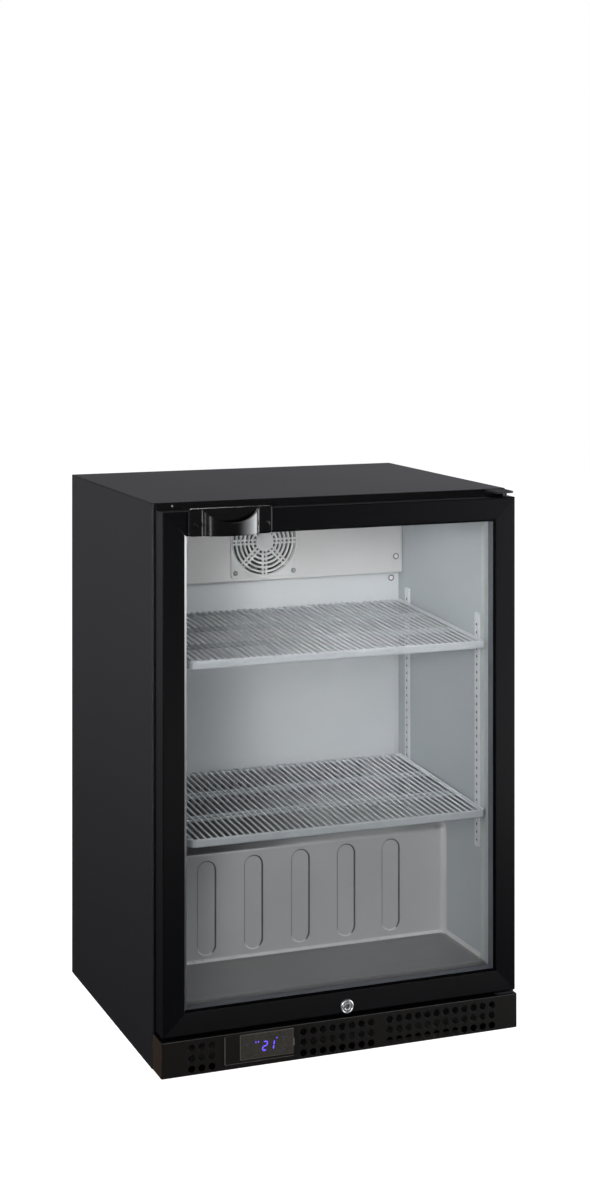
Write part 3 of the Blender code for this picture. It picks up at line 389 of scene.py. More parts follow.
FOAM = finish("foam_cells", (0.74, 0.64, 0.40), 0.92, spec=0.2, vary=0.10, scale=90.0, bump=0.5, bump_scale=1300.0)
SEAL = finish("edge_seal_black", (0.0012, 0.0012, 0.0014), 0.7, spec=0.05, vary=0.15, scale=50.0, bump=0.1, bump_scale=1500.0)
SPACER = perforated("spacer_bar", (0.18, 0.19, 0.23), (0.045, 0.05, 0.06), 0.0036)
# left spacer bar: painted glow, brightest at the top
SPACER_LEFT_GLOW = painted_glow("spacer_edge_painted_glow", (0.12, 0.12, 0.12), 0.26, 0.78, ((0.0, 0.01), (0.1, 0.025), (0.19, 0.07), (0.36, 0.13), (0.45, 0.16),
                                                                            (0.62, 0.29), (0.71, 0.37), (0.8, 0.49), (0.9, 0.64), (1.0, 0.72)))
CHROME = turned_metal("lock_chrome", (0.88, 0.88, 0.88), 0.34, (3.0, 71.5))
GLASS = pane("float_glass", (0.982, 0.985, 0.986))


# ------------------------------------------------------------------ shape tools
def lift(a, b, axis, t):
    if axis == "x":
        return Vector((t, a, b))
    if axis == "y":
        return Vector((a, t, b))
    return Vector((a, b, t))


def loop(bm, pts, axis, t):
    return [bm.verts.new(lift(a, b, axis, t)) for a, b in pts]


def bridge(bm, one, two):
    n = len(one)
    for i in range(n):
        j = (i + 1) % n
        bm.faces.new((one[i], one[j], two[j], two[i]))


def fill(bm, loops):
    edges = []
    for lp in loops:
        for i, a in enumerate(lp):
            b = lp[(i + 1) % len(lp)]
            edges.append(bm.edges.get((a, b)) or bm.edges.new((a, b)))
    bmesh.ops.triangle_fill(bm, use_beauty=True, use_dissolve=False, edges=edges)


def arc(ca, cb, r, a0, a1, n):
    return [(ca + r * math.cos(a0 + (a1 - a0) * i / n), cb + r * math.sin(a0 + (a1 - a0) * i / n)) for i in range(n + 1)]


def rrect(a0, a1, b0, b1, r=0.0, n=5):
    """Rounded rectangle; the returned function draws it inset by d."""
    def at(d=0.0):
        x0, x1, y0, y1 = a0 + d, a1 - d, b0 + d, b1 - d
        if r <= 0.0:
            return [(x1, y1), (x0, y1), (x0, y0), (x1, y0)]
        q = max(r - d, 0.05)
        return (arc(x1 - q, y1 - q, q, 0, PI / 2, n) + arc(x0 + q, y1 - q, q, PI / 2, PI, n)
                + arc(x0 + q, y0 + q, q, PI, 1.5 * PI, n) + arc(x1 - q, y0 + q, q, 1.5 * PI, 2 * PI, n))
    return at


def circ(ca, cb, r, n=24, turn=0.0):
    def at(d=0.0):
        return [(ca + (r - d) * math.cos(turn + 2 * PI * i / n), cb + (r - d) * math.sin(turn + 2 * PI * i / n))
                for i in range(n)]
    return at


def obround(ca, cb, w, h, n=10):
    """Slot with round ends, upright."""
    def at(d=0.0):
        r = w / 2.0 - d
        k = (h - w) / 2.0
        return arc(ca, cb + k, r, 0, PI, n) + arc(ca, cb - k, r, PI, 2 * PI, n)
    return at


def fixed(pts):
    def at(d=0.0):
        return pts
    return at


def rim(e, steps, t0, t1):
    s = 1.0 if t1 > t0 else -1.0
    if e <= 0.0:
        return [(0.0, t0), (0.0, t1)]
    front = [(e * (1 - math.sin(PI / 2 * k / steps)), t0 + s * e * (1 - math.cos(PI / 2 * k / steps)))
             for k in range(steps + 1)]
    return front + [(d, t0 + t1 - t) for d, t in reversed(front)]


def plate(bm, outer, holes, axis, t0, t1, edge=0.0, steps=3, hole_edge=0.0):
    """Flat plate with round rims, and holes right through it."""
    first, last = [], []
    for shape, e, sign in [(outer, edge, 1.0)] + [(h, hole_edge, -1.0) for h in holes]:
        prev = None
        for d, t in rim(e, steps, t0, t1):
            now = loop(bm, shape(sign * d), axis, t)
            if prev is None:
                first.append(now)
            else:
                bridge(bm, prev, now)
            prev = now
        last.append(prev)
    fill(bm, first)
    fill(bm, last)


def prism(bm, pts, axis, t0, t1):
    a, b = loop(bm, pts, axis, t0), loop(bm, pts, axis, t1)
    bridge(bm, a, b)
    fill(bm, [a])
    fill(bm, [b])


def block(bm, x0, x1, y0, y1, z0, z1, r=0.6):
    plate(bm, rrect(x0, x1, z0, z1, max(r, 0.1), 3), [], "y", y0, y1, edge=min(r, abs(y1 - y0) * 0.45), steps=2)


def rounded(pts, radii, n=4):
    """Polygon with each corner turned into an arc."""
    out = []
    m = len(pts)
    for i in range(m):
        b = Vector(pts[i])
        r = radii[i]
        if r <= 0.0:
            out.append((b.x, b.y))
            continue
        u = (Vector(pts[i - 1]) - b).normalized()
        v = (Vector(pts[(i + 1) % m]) - b).normalized()
        half = math.acos(max(-1.0, min(1.0, u.dot(v)))) / 2.0
        c = b + (u + v).normalized() * (r / math.sin(half))
        p, q = b + u * (r / math.tan(half)) - c, b + v * (r / math.tan(half)) - c
        a0 = math.atan2(p.y, p.x)
        da = math.atan2(q.y, q.x) - a0
        da = (da + PI) % (2 * PI) - PI
        out += [(c.x + r * math.cos(a0 + da * k / n), c.y + r * math.sin(a0 + da * k / n)) for k in range(n + 1)]
    return out


def folded(bm, path, t, axis, e0, e1, flat, holes=()):
    """Bent sheet: a path across an axis, drawn out along it; the path's piece
    number `flat` faces the front and takes the holes."""
    out, inn = path(0.0), path(t)
    rows = [loop(bm, p, axis, e) for p in (out, inn) for e in (e0, e1)]
    o0, o1, i0, i1 = rows
    n = len(out)
    for k in range(n - 1):
        if k != flat:
            bm.faces.new((o0[k], o0[k + 1], o1[k + 1], o1[k]))
            bm.faces.new((i0[k + 1], i0[k], i1[k], i1[k + 1]))
        bm.faces.new((o0[k + 1], o0[k], i0[k], i0[k + 1]))
        bm.faces.new((o1[k], o1[k + 1], i1[k + 1], i1[k]))
    for k in (0, n - 1):
        bm.faces.new((o0[k], o1[k], i1[k], i0[k]))
    front = [[o0[flat], o0[flat + 1], o1[flat + 1], o1[flat]]]
    back = [[i0[flat], i0[flat + 1], i1[flat + 1], i1[flat]]]
    y_out, y_in = o0[flat].co.y, i0[flat].co.y
    for h in holes:
        e = 0.25
        a = loop(bm, h(-e), "y", y_out)
        b = loop(bm, h(0.0), "y", y_out + e * (1 if y_in > y_out else -1))
        c = loop(bm, h(0.0), "y", y_in)
        bridge(bm, a, b)
        bridge(bm, b, c)
        front.append(a)
        back.append(c)
    fill(bm, front)
    fill(bm, back)


def u_path(hw, y_front, y_end, r, n=4):
    """Plan of a tray: a flat front with two bent ends that run to the back."""
    def at(d=0.0):
        q = r - d
        return ([(-hw + d, y_end)] + arc(-hw + r, y_front + r, q, PI, 1.5 * PI, n)
                + arc(hw - r, y_front + r, q, 1.5 * PI, 2 * PI, n) + [(hw - d, y_end)])
    return at


def ring_sweep(bm, profile, hx, z0, z1, sides=(0, 1, 2, 3)):
    """Closed profile of (inset, y) pairs swept round a rectangle, mitred; sides
    run on from the bottom to the right, the top and the left."""
    rows = []
    for u, y in profile:
        rows.append([bm.verts.new(p) for p in ((-hx + u, y, z0 + u), (hx - u, y, z0 + u),
                                               (hx - u, y, z1 - u), (-hx + u, y, z1 - u))])
    for i in range(len(rows)):
        one, two = rows[i], rows[(i + 1) % len(rows)]
        for k in sides:
            bm.faces.new((one[k], one[(k + 1) % 4], two[(k + 1) % 4], two[k]))
    for k in range(4):
        if (k in sides) != ((k - 1) % 4 in sides):
            fill(bm, [[row[k] for row in rows]])
    bmesh.ops.delete(bm, geom=[v for v in bm.verts if not v.link_faces], context="VERTS")


def tube(bm, pts, r, n=8, round_ends=True):
    """Round wire along a line of points."""
    pts = [Vector(p) for p in pts]
    tang = [(pts[min(i + 1, len(pts) - 1)] - pts[max(i - 1, 0)]).normalized() for i in range(len(pts))]
    ref = Vector((0, 0, 1)) if abs(tang[0].z) < 0.9 else Vector((1, 0, 0))
    side = tang[0].cross(ref).normalized()
    spots = []
    for i, p in enumerate(pts):
        if i:
            side = (side - tang[i] * side.dot(tang[i])).normalized()
        spots.append((p, side.copy(), tang[i].cross(side), r))
    if round_ends:
        a, b = spots[0], spots[-1]
        spots = [(a[0] - tang[0] * r * 0.5, a[1], a[2], r * 0.6)] + spots + [(b[0] + tang[-1] * r * 0.5, b[1], b[2], r * 0.6)]
    prev = None
    ends = []
    for p, s, w, q in spots:
        now = [bm.verts.new(p + s * (q * math.cos(2 * PI * k / n)) + w * (q * math.sin(2 * PI * k / n))) for k in range(n)]
        if prev:
            bridge(bm, prev, now)
        else:
            ends.append(now)
        prev = now
    ends.append(prev)
    for e in ends:
        bm.faces.new(e)


def turned(bm, profile, ca, cb, axis, n=32):
    """Lathe shape from (radius, place) pairs."""
    rows = []
    for r, t in profile:
        if r < 1e-6:
            rows.append([bm.verts.new(lift(ca, cb, axis, t))])
        else:
            rows.append(loop(bm, circ(ca, cb, r, n)(), axis, t))
    for lo, hi in zip(rows[:-1], rows[1:]):
        for i in range(n):
            j = (i + 1) % n
            if len(lo) == 1:
                bm.faces.new((lo[0], hi[j], hi[i]))
            elif len(hi) == 1:
                bm.faces.new((lo[i], lo[j], hi[0]))
            else:
                bm.faces.new((lo[i], lo[j], hi[j], hi[i]))
    for end in (rows[0], rows[-1]):
        if len(end) > 1:
            bm.faces.new(end)


def screw(bm, ca, cb, axis, t, out, r=3.6, h=1.5, turn=0.4):
    """Pan-head screw with a cross recess, on the plane t, its head towards out."""
    n = 20
    prev = None
    for q, k in ((1.0, -0.25), (1.0, 0.25), (0.93, 0.62), (0.78, 0.9), (0.62, 1.0)):
        now = loop(bm, circ(ca, cb, r * q, n)(), axis, t + out * h * k)
        if prev:
            bridge(bm, prev, now)
        else:
            bm.faces.new(now)
        prev = now
    w, a = r * 0.11, r * 0.46
    star = []
    for k in range(4):
        c, s = math.cos(turn + PI / 2 * k), math.sin(turn + PI / 2 * k)
        for u, v in ((a, -w), (a, w), (w, w)):
            star.append((ca + u * c - v * s, cb + u * s + v * c))
    top = loop(bm, star, axis, t + out * h)
    low = loop(bm, [(ca + (p - ca) * 0.8, cb + (q - cb) * 0.8) for p, q in star], axis, t + out * h * 0.35)
    fill(bm, [prev, top])
    bridge(bm, top, low)
    fill(bm, [low])


def flat_faces(ob):
    """Large faces keep their own normal; only the small rims shade round."""
    m = ob.modifiers.new("normals", "WEIGHTED_NORMAL")
    m.mode = "FACE_AREA"
    m.weight = 50
    m.keep_sharp = True


def make(name, bm, mat, body="cabinet", nodes=(), bevel=0.0, seg=2, sharp=35.0, face_to=None, solid=0.0):
    """One object from a shape drawn in millimetres."""
    bmesh.ops.remove_doubles(bm, verts=bm.verts[:], dist=0.004)
    bmesh.ops.recalc_face_normals(bm, faces=bm.faces[:])
    if face_to is not None:
        look = Vector(face_to)
        if sum(f.normal.dot(look) * f.calc_area() for f in bm.faces) < 0.0:
            bmesh.ops.reverse_faces(bm, faces=bm.faces[:])
    for v in bm.verts:
        v.co = (v.co + SHIFT) * MM
    me = bpy.data.meshes.new(name)
    bm.to_mesh(me)
    bm.free()
    me.materials.append(mat)
    me.shade_smooth()
    ob = bpy.data.objects.new(name, me)
    scene.collection.objects.link(ob)
    if bevel > 0.0:
        m = ob.modifiers.new("edges", "BEVEL")
        m.width = bevel * MM
        m.segments = seg
        m.limit_method = "ANGLE"
        m.angle_limit = math.radians(32.0)
        m.harden_normals = True
    else:
        me.set_sharp_from_angle(angle=math.radians(sharp))
    if solid > 0.0:
        m = ob.modifiers.new("sheet", "SOLIDIFY")
        m.thickness = solid * MM
        m.offset = -1.0
    if bevel <= 0.0:
        flat_faces(ob)
    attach(ob, body)
    if nodes:
        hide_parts(*nodes)
    return ob


def carve(ob, bm):
    """Take a shape out of an object for good."""
    bmesh.ops.recalc_face_normals(bm, faces=bm.faces[:])
    for v in bm.verts:
        v.co = (v.co + SHIFT) * MM
    me = bpy.data.meshes.new("cutter")
    bm.to_mesh(me)
    bm.free()
    tool = bpy.data.objects.new("cutter", me)
    scene.collection.objects.link(tool)
    ob.modifiers.clear()
    mod = ob.modifiers.new("cut", "BOOLEAN")
    mod.operation = "DIFFERENCE"
    mod.solver = "EXACT"
    mod.object = tool
    deps = bpy.context.evaluated_depsgraph_get()
    done = bpy.data.meshes.new_from_object(ob.evaluated_get(deps))
    old = ob.data
    ob.modifiers.clear()
    ob.data = done
    done.name = old.name
    bpy.data.meshes.remove(old)
    bpy.data.objects.remove(tool, do_unlink=True)
    bpy.data.meshes.remove(me)
    done.shade_smooth()
    done.set_sharp_from_angle(angle=math.radians(30.0))
    flat_faces(ob)


new = bmesh.new

# ------------------------------------------------------------------ cabinet
for side, s in (("left", -1.0), ("right", 1.0)):
    bm = new()
    section = rounded([(296.4, 12.0), (296.4, 0.0), (300.0, 0.0), (300.0, 468.0), (299.0, 468.0), (299.0, 12.0)],
                      [0.0, 0.6, 1.6, 0.3, 0.3, 0.0], 4)
    prism(bm, [(s * x, y) for x, y in section], "z", 0.0, 860.7)
    make("side_panel_" + side + "_skin", bm, PAINT, nodes=("side_panel_" + side,))

bm = new()
plate(bm, rrect(-300.0, 300.0, 0.0, 468.0, 1.2, 3), [], "z", 862.0, 861.0, edge=0.48, steps=3)
make("top_panel_sheet", bm, PAINT, nodes=("top_panel",))

bm = new()
plate(bm, rrect(-296.0, 296.0, 54.6, 860.7), [rrect(-272.3, 272.3, 86.7, 834.3)], "y", 0.0, 12.0, edge=0.8, hole_edge=0.4)
make("front_ring", bm, RING, nodes=("front_frame",))

strip = rounded([(0.0, 0.3), (10.0, 0.3), (10.0, 12.0), (0.0, 12.0)], [0.6, 1.2, 0.3, 0.3], 5)
# the sill takes the darker floor copy of the pan metal: painted shade
for name, sides, mat in (("breaker_strip", (1, 2, 3), BREAKER), ("breaker_strip_sill", (0,), PAN_FLOOR_SHADE)):
    bm = new()
    ring_sweep(bm, strip, 272.0, 87.0, 834.0, sides)
    make(name, bm, mat)

bm = new()
screw(bm, -268.0, 856.2, "y", 0.0, -1.0, r=1.8, h=0.9, turn=0.2)
make("front_ring_screw", bm, SCREW)

# rear: flat sheet with two pressed ribs and a row of screws round its edge
bm = new()
outline = [[], []]
plate_holes = []
for z in (400.0, 560.0, 720.0):
    plate_holes.append(rrect(-230.0, 230.0, z - 14.0, z + 14.0, 13.9, 8))
a = loop(bm, rrect(-298.7, 298.7, 236.0, 860.7)(), "y", 468.0)
b = loop(bm, rrect(-298.7, 298.7, 236.0, 860.7)(), "y", 467.0)
bridge(bm, a, b)
fr, bk = [a], [b]
for h in plate_holes:
    rows = [(0.0, 468.0), (1.2, 468.25), (4.0, 469.3), (6.0, 469.6)]
    prev = None
    for d, t in rows:
        now = loop(bm, h(d), "y", t)
        if prev:
            bridge(bm, prev, now)
        else:
            fr.append(now)
        prev = now
    fill(bm, [prev])
    prev = None
    for d, t in [(0.6, 467.0), (2.0, 467.3), (4.8, 468.3), (6.6, 468.6)]:
        now = loop(bm, h(d), "y", t)
        if prev:
            bridge(bm, prev, now)
        else:
            bk.append(now)
        prev = now
    fill(bm, [prev])
fill(bm, fr)
fill(bm, bk)
make("rear_panel_sheet", bm, ZINC, nodes=("rear_panel",))

bm = new()
for x in (-284.0, -95.0, 95.0, 284.0):
    for z in (250.0, 846.0):
        screw(bm, x, z, "y", 468.0, 1.0, r=4.0, h=1.6, turn=x)
for z in (400.0, 560.0, 720.0):
    for x in (-288.0, 288.0):
        screw(bm, x, z, "y", 468.0, 1.0, r=4.0, h=1.6, turn=z)
for x in (-284.0, -140.0, 0.0, 140.0, 284.0):
    for z in (14.0, 226.0):
        if not (x > 200 and z < 60):
            screw(bm, x, z, "y", 467.5, 1.0, r=4.0, h=1.6, turn=x + z)
make("rear_screws", bm, SCREW)

# rear grille: sheet with rows of slots, each with a louvre lip over it
bm = new()
slots = []
for row in range(7):
    for col in range(4):
        x, z = -270.0 + 138.0 * col, 82.0 + 20.0 * row
        slots.append(rrect(x, x + 126.0, z, z + 8.0, 3.6, 4))
slots.append(rrect(225.0 - 21.6, 225.0 + 21.6, 34.0 - 14.6, 34.0 + 14.6, 1.0, 3))
plate(bm, rrect(-298.7, 298.7, 2.6, 233.4, 2.0, 3), slots, "y", 467.5, 466.5, edge=0.3, steps=2, hole_edge=0.2)
for row in range(7):
    for col in range(4):
        x, z = -270.0 + 138.0 * col, 82.0 + 20.0 * row
        sec = [(466.4, z + 8.6), (466.4, z + 7.8), (462.0, z + 4.2), (458.6, z - 1.5), (457.8, z - 1.2), (461.2, z + 4.9)]
        prism(bm, sec, "x", x + 2.0, x + 124.0)
make("rear_grille_sheet", bm, ZINC, nodes=("rear_grille",))

# ------------------------------------------------------------------ liner
RC, RS, RE = 10.0, 9.0, 5.0
FLOOR, HY, HZ = 97.0, 150.3, 275.0
sec = [(12.3, FLOOR, 0.0, 1.0)]
for k in range(7):
    a = -PI / 2 + PI / 2 * k / 6
    sec.append((HY - RC + RC * math.cos(a), FLOOR + RC + RC * math.sin(a), -math.cos(a), -math.sin(a)))
flat_j = len(sec) - 1
for k in range(7):
    a = PI - PI / 2 * k / 6
    sec.append((HY + RE + RE * math.cos(a), HZ - RE + RE * math.sin(a), math.cos(a), math.sin(a)))
sec.append((427.7, HZ, 0.0, 1.0))
cols = []
for k in range(7):
    a = PI / 2 * (1 - k / 6)
    cols.append((-(261.7 - RS) - RS * math.sin(a), RS * (1 - math.cos(a))))
flat_i = len(cols) - 1
cols += [(-x, h) for x, h in reversed(cols)]
bm = new()
grid = [[bm.verts.new((x, y + ny * h, z + nz * h)) for y, z, ny, nz in sec] for x, h in cols]
for i in range(len(cols) - 1):
    for j in range(len(sec) - 1):
        if i == flat_i and j == flat_j:
            continue
        bm.faces.new((grid[i][j], grid[i + 1][j], grid[i + 1][j + 1], grid[i][j + 1]))
face = [[grid[flat_i][flat_j], grid[flat_i + 1][flat_j], grid[flat_i + 1][flat_j + 1], grid[flat_i][flat_j + 1]]]
for x, z in ((-161.6, 186.0), (-80.8, 187.4), (1.2, 188.6), (82.3, 189.2), (163.0, 189.5)):
    shape = obround(x, z, 33.0, 154.0, 14)
    prev = None
    for d, y in ((0.0, HY), (0.35, HY + 0.2), (1.7, HY + 1.9), (2.2, HY + 2.15)):
        now = loop(bm, shape(d), "y", y)
        if prev:
            bridge(bm, prev, now)
        else:
            face.append(now)
        prev = now
    fill(bm, [prev])
fill(bm, face)
pan = make("liner_floor_pan", bm, PAN, nodes=("liner_floor",), face_to=(0.0, -0.6, 1.0), solid=0.4, sharp=50.0)
for mat in (PAN_FLOOR_SHADE, PAN_TOP_SHADE, PAN_SHADE_DARK, PAN_SHADE_SOFT, PAN_PAINTED_HIGHLIGHT):
    pan.data.materials.append(mat)
# obround walls facing up and the bend under the hump take the painted highlight, the other obround walls painted shade;
# the floor and the hump top take their shaded copies
for p in pan.data.polygons:
    wall = abs(p.center.x) < 0.2 and 0.108 < p.center.z < 0.2695 and p.normal.y > -0.95
    if p.normal.z > 0.75 and not wall:
        p.material_index = 1 if p.center.z < 0.15 else 2
    elif wall and p.normal.z > 0.25 and p.normal.x > -0.5:
        p.material_index = 5
    elif p.center.z < 0.1075 and 0.3 < p.normal.z < 0.7 and abs(p.normal.x) < 0.2:
        p.material_index = 5
    elif wall:
        p.material_index = 4 if p.normal.x > 0.3 else 3

bm = new()
slots = [obround(15.3 * (i - 12), 331.5, 8.5, 57.0, 6) for i in range(25)]
folded(bm, u_path(252.5, 335.0, 347.0, 2.0), 1.0, "z", 275.3, 689.0, 5, slots)
make("duct_panel_sheet", bm, DUCT_SHADE, nodes=("duct_panel",))

bm = new()


def cover_path(d=0.0):
    return [(320.0 + d, 823.7)] + arc(322.0, 685.0, 2.0 - d, PI, 1.5 * PI, 4) + [(334.7, 683.0 + d)]


folded(bm, cover_path, 1.0, "x", -257.5, 257.5, 0, [circ(0.0, 750.0, 56.5, 48)])
make("evaporator_cover_sheet", bm, COVER, nodes=("evaporator_cover",))

# closing lips between these two sheets and the side walls
bm = new()
for s in (-1.0, 1.0):
    for a, z0, z1, y in ((252.8, 275.6, 682.6, 338.0), (257.8, 683.4, 823.4, 323.0)):
        x0, x1 = sorted((s * a, s * 261.4))
        plate(bm, rrect(x0, x1, z0, z1, 0.4, 2), [], "y", y, y + 1.0, edge=0.3, steps=2)
make("liner_closing_lips", bm, LINER)

# screw heads in the bright pan copy: painted highlight
bm = new()
for x in (-248.0, 248.0):
    screw(bm, x, 712.0, "y", 320.0, -1.0, r=3.8, h=1.8, turn=0.3)
    screw(bm, x, 806.0, "y", 320.0, -1.0, r=3.8, h=1.8, turn=0.8)
for x in (-245.5, 245.5):
    screw(bm, x, 672.0, "y", 335.0, -1.0, r=3.8, h=1.8, turn=0.5)
    screw(bm, x, 288.0, "y", 335.0, -1.0, r=3.8, h=1.8, turn=0.1)
make("liner_screws", bm, PAN_PAINTED_HIGHLIGHT)

# fan guard: square moulding with a raised disc of ring slots and eight spokes
bm = new()
GZ = 750.0
slots = []
for r in (18.4, 25.8, 33.2, 40.5, 47.9, 55.3):
    r0, r1 = r - 2.1, r + 2.1
    for k in range(8):
        mid = PI / 4 * k
        w0, w1 = math.asin(1.7 / r0), math.asin(1.7 / r1)
        pts = arc(0, GZ, r1, mid - w1, mid + w1, 2) + arc(0, GZ, r0, mid + w0, mid - w0, 2)
        slots.append(fixed(pts))
        s0, s1 = math.asin(4.7 / r0), math.asin(4.7 / r1)
        n = 6
        pts = (arc(0, GZ, r1, mid + s1, mid + PI / 4 - s1, n) + arc(0, GZ, r0, mid + PI / 4 - s0, mid + s0, n))
        slots.append(fixed(pts))
square = rrect(-61.0, 61.0, GZ - 61.0, GZ + 61.0, 5.0, 5)
prev = None
for d, y in ((1.2, 316.5), (0.35, 316.85), (0.0, 317.7), (0.0, 319.7)):
    now = loop(bm, square(d), "y", y)
    if prev:
        bridge(bm, prev, now)
    else:
        first = now
    prev = now
last = prev
rings = [loop(bm, circ(0.0, GZ, r, 64)(), "y", y) for r, y in ((59.5, 316.5), (59.2, 315.9), (58.6, 315.5))]
fill(bm, [first, rings[0]])
bridge(bm, rings[0], rings[1])
bridge(bm, rings[1], rings[2])
fr, bk = [rings[2]], [last]
for sl in slots:
    a, b = loop(bm, sl(), "y", 315.5), loop(bm, sl(), "y", 319.7)
    bridge(bm, a, b)
    fr.append(a)
    bk.append(b)
fill(bm, fr)
fill(bm, bk)
make("fan_guard_grid", bm, GUARD, nodes=("fan_guard",), sharp=30.0)

bm = new()
for x in (-53.0, 53.0):
    for z in (-52.0, 52.0):
        screw(bm, x, GZ + z, "y", 316.5, -1.0, r=3.0, h=1.3, turn=x + z)
make("fan_guard_screws", bm, SCREW)
# dark rings under the screw heads: painted shade round them
bm = new()
for x in (-53.0, 53.0):
    for z in (-52.0, 52.0):
        plate(bm, circ(x, GZ + z, 4.2, 24), [circ(x, GZ + z, 2.0, 16)], "y", 316.15, 316.48, edge=0.1, steps=2)
for x in (-248.0, 248.0):
    for z in (712.0, 806.0):
        plate(bm, circ(x, z, 5.5, 24), [circ(x, z, 2.5, 16)], "y", 319.55, 319.98, edge=0.1, steps=2)
for x in (-245.5, 245.5):
    plate(bm, circ(x, 672.0, 5.5, 24), [circ(x, 672.0, 2.5, 16)], "y", 334.55, 334.98, edge=0.1, steps=2)
make("screw_shade_rings", bm, PAN_SHADE_DARK)

# slotted shelf supports: shallow channels with a row of slots
for where, (y0, y1) in (("front", (13.5, 28.0)), ("rear", (289.0, 305.0))):
    for side, s in (("left", -1.0), ("right", 1.0)):
        bm = new()
        xs = (s * 258.0, s * 259.2, s * 261.7)
        holes = [rrect((y0 + y1) / 2 - 3.0, (y0 + y1) / 2 + 3.0, z, z + 4.8, 1.2, 3) for z in
                 [286.0 + 13.0 * k for k in range(28)]]
        outer = rrect(y0, y1, 278.0, 658.0, 1.0, 3)
        r0 = loop(bm, outer(0.8), "x", xs[0])
        r1 = loop(bm, outer(0.2), "x", xs[0] + s * 0.25)
        r2 = loop(bm, outer(0.0), "x", xs[0] + s * 0.8)
        r3 = loop(bm, outer(0.0), "x", xs[2])
        r4 = loop(bm, outer(1.2), "x", xs[2])
        r5 = loop(bm, outer(1.2), "x", xs[1])
        for p, q in ((r0, r1), (r1, r2), (r2, r3), (r3, r4), (r4, r5)):
            bridge(bm, p, q)
        fr, bk = [r0], [r5]
        for h in holes:
            p, q = loop(bm, h(), "x", xs[0]), loop(bm, h(), "x", xs[1])
            bridge(bm, p, q)
            fr.append(p)
            bk.append(q)
        fill(bm, fr)
        fill(bm, bk)
        make("pilaster_%s_%s_channel" % (where, side), bm, LINER, nodes=("pilaster_%s_%s" % (where, side),))
        # dark strip behind the slots: painted shade inside the channel
        bm = new()
        plate(bm, rrect(y0 + 2.2, y1 - 2.2, 281.0, 655.0, 1.0, 3), [], "x", s * 259.9, s * 261.2, edge=0.3, steps=2)
        make("pilaster_%s_%s_tape" % (where, side), bm, SLOT_SHADE)

# lamp: aluminium channel with a round diffuser
bm = new()
sec = rounded([(16.0, 823.7), (16.0, 812.0), (20.0, 809.5), (38.0, 809.5), (42.0, 812.0), (42.0, 823.7)],
              [0.0, 2.5, 3.0, 3.0, 2.5, 0.0], 4)
prism(bm, sec, "x", -184.0, 184.0)
make("lamp_diffuser", bm, LAMP, nodes=("interior_lamp",))
bm = new()
for s in (-1.0, 1.0):
    prism(bm, rounded([(15.4, 823.7), (15.4, 811.5), (20.0, 809.0), (38.0, 809.0), (42.6, 811.5), (42.6, 823.7)],
                      [0.0, 2.5, 3.0, 3.0, 2.5, 0.0], 4), "x", s * 184.2, s * 190.0)
make("lamp_end_caps", bm, GUARD, bevel=0.5)

# ------------------------------------------------------------------ shelves
TILT = math.radians(3.1)
MID_Y = 153.35
SX0, SX1, SY0, SY1 = -246.0, 257.3, -14.3, 321.0


def tilted(bm, z):
    bmesh.ops.rotate(bm, verts=bm.verts[:], cent=Vector((0.0, MID_Y, z)), matrix=Matrix.Rotation(TILT, 3, "X"))


def shelf_band(bm, z):
    """Lip round the front and sides: two coated wires run together."""
    line = [(SX0, y, -1.0, 0.0) for y in (SY1, 200.0, 70.0, 45.0)]
    for cx, cy, r, a0 in ((SX0 + 14.0, SY0 + 14.0, 14.0, PI), (SX1 - 5.0, SY0 + 5.0, 5.0, 1.5 * PI)):
        for k in range(9):
            a = a0 + PI / 2 * k / 8
            line.append((cx + r * math.cos(a), cy + r * math.sin(a), math.cos(a), math.sin(a)))
    line += [(SX1, y, 1.0, 0.0) for y in (45.0, 70.0, 200.0, SY1)]
    prev = None
    ends = []
    for x, y, nx, ny in line:
        tall = 13.0 if y < 20.0 else (6.0 if y >= 70.0 else 6.0 + 7.0 * (70.0 - y) / 50.0)
        groove = 0.55 if tall > 10.0 else 0.15
        prof = [(-3.6, -1.4), (-3.0, -0.4), (-1.8, 0.0), (-0.7, -0.5), (0.0, -1.8), (0.0, -tall * 0.36),
                (-groove, -tall * 0.5), (0.0, -tall * 0.64), (0.0, -tall + 1.8), (-0.7, -tall + 0.5), (-1.8, -tall),
                (-3.0, -tall + 0.4), (-3.6, -tall + 1.4), (-3.6, -tall * 0.5)]
        now = [bm.verts.new((x + nx * o, y + ny * o, z + h)) for o, h in prof]
        if prev:
            bridge(bm, prev, now)
        else:
            ends.append(now)
        prev = now
    ends.append(prev)
    for e in ends:
        fill(bm, [e])


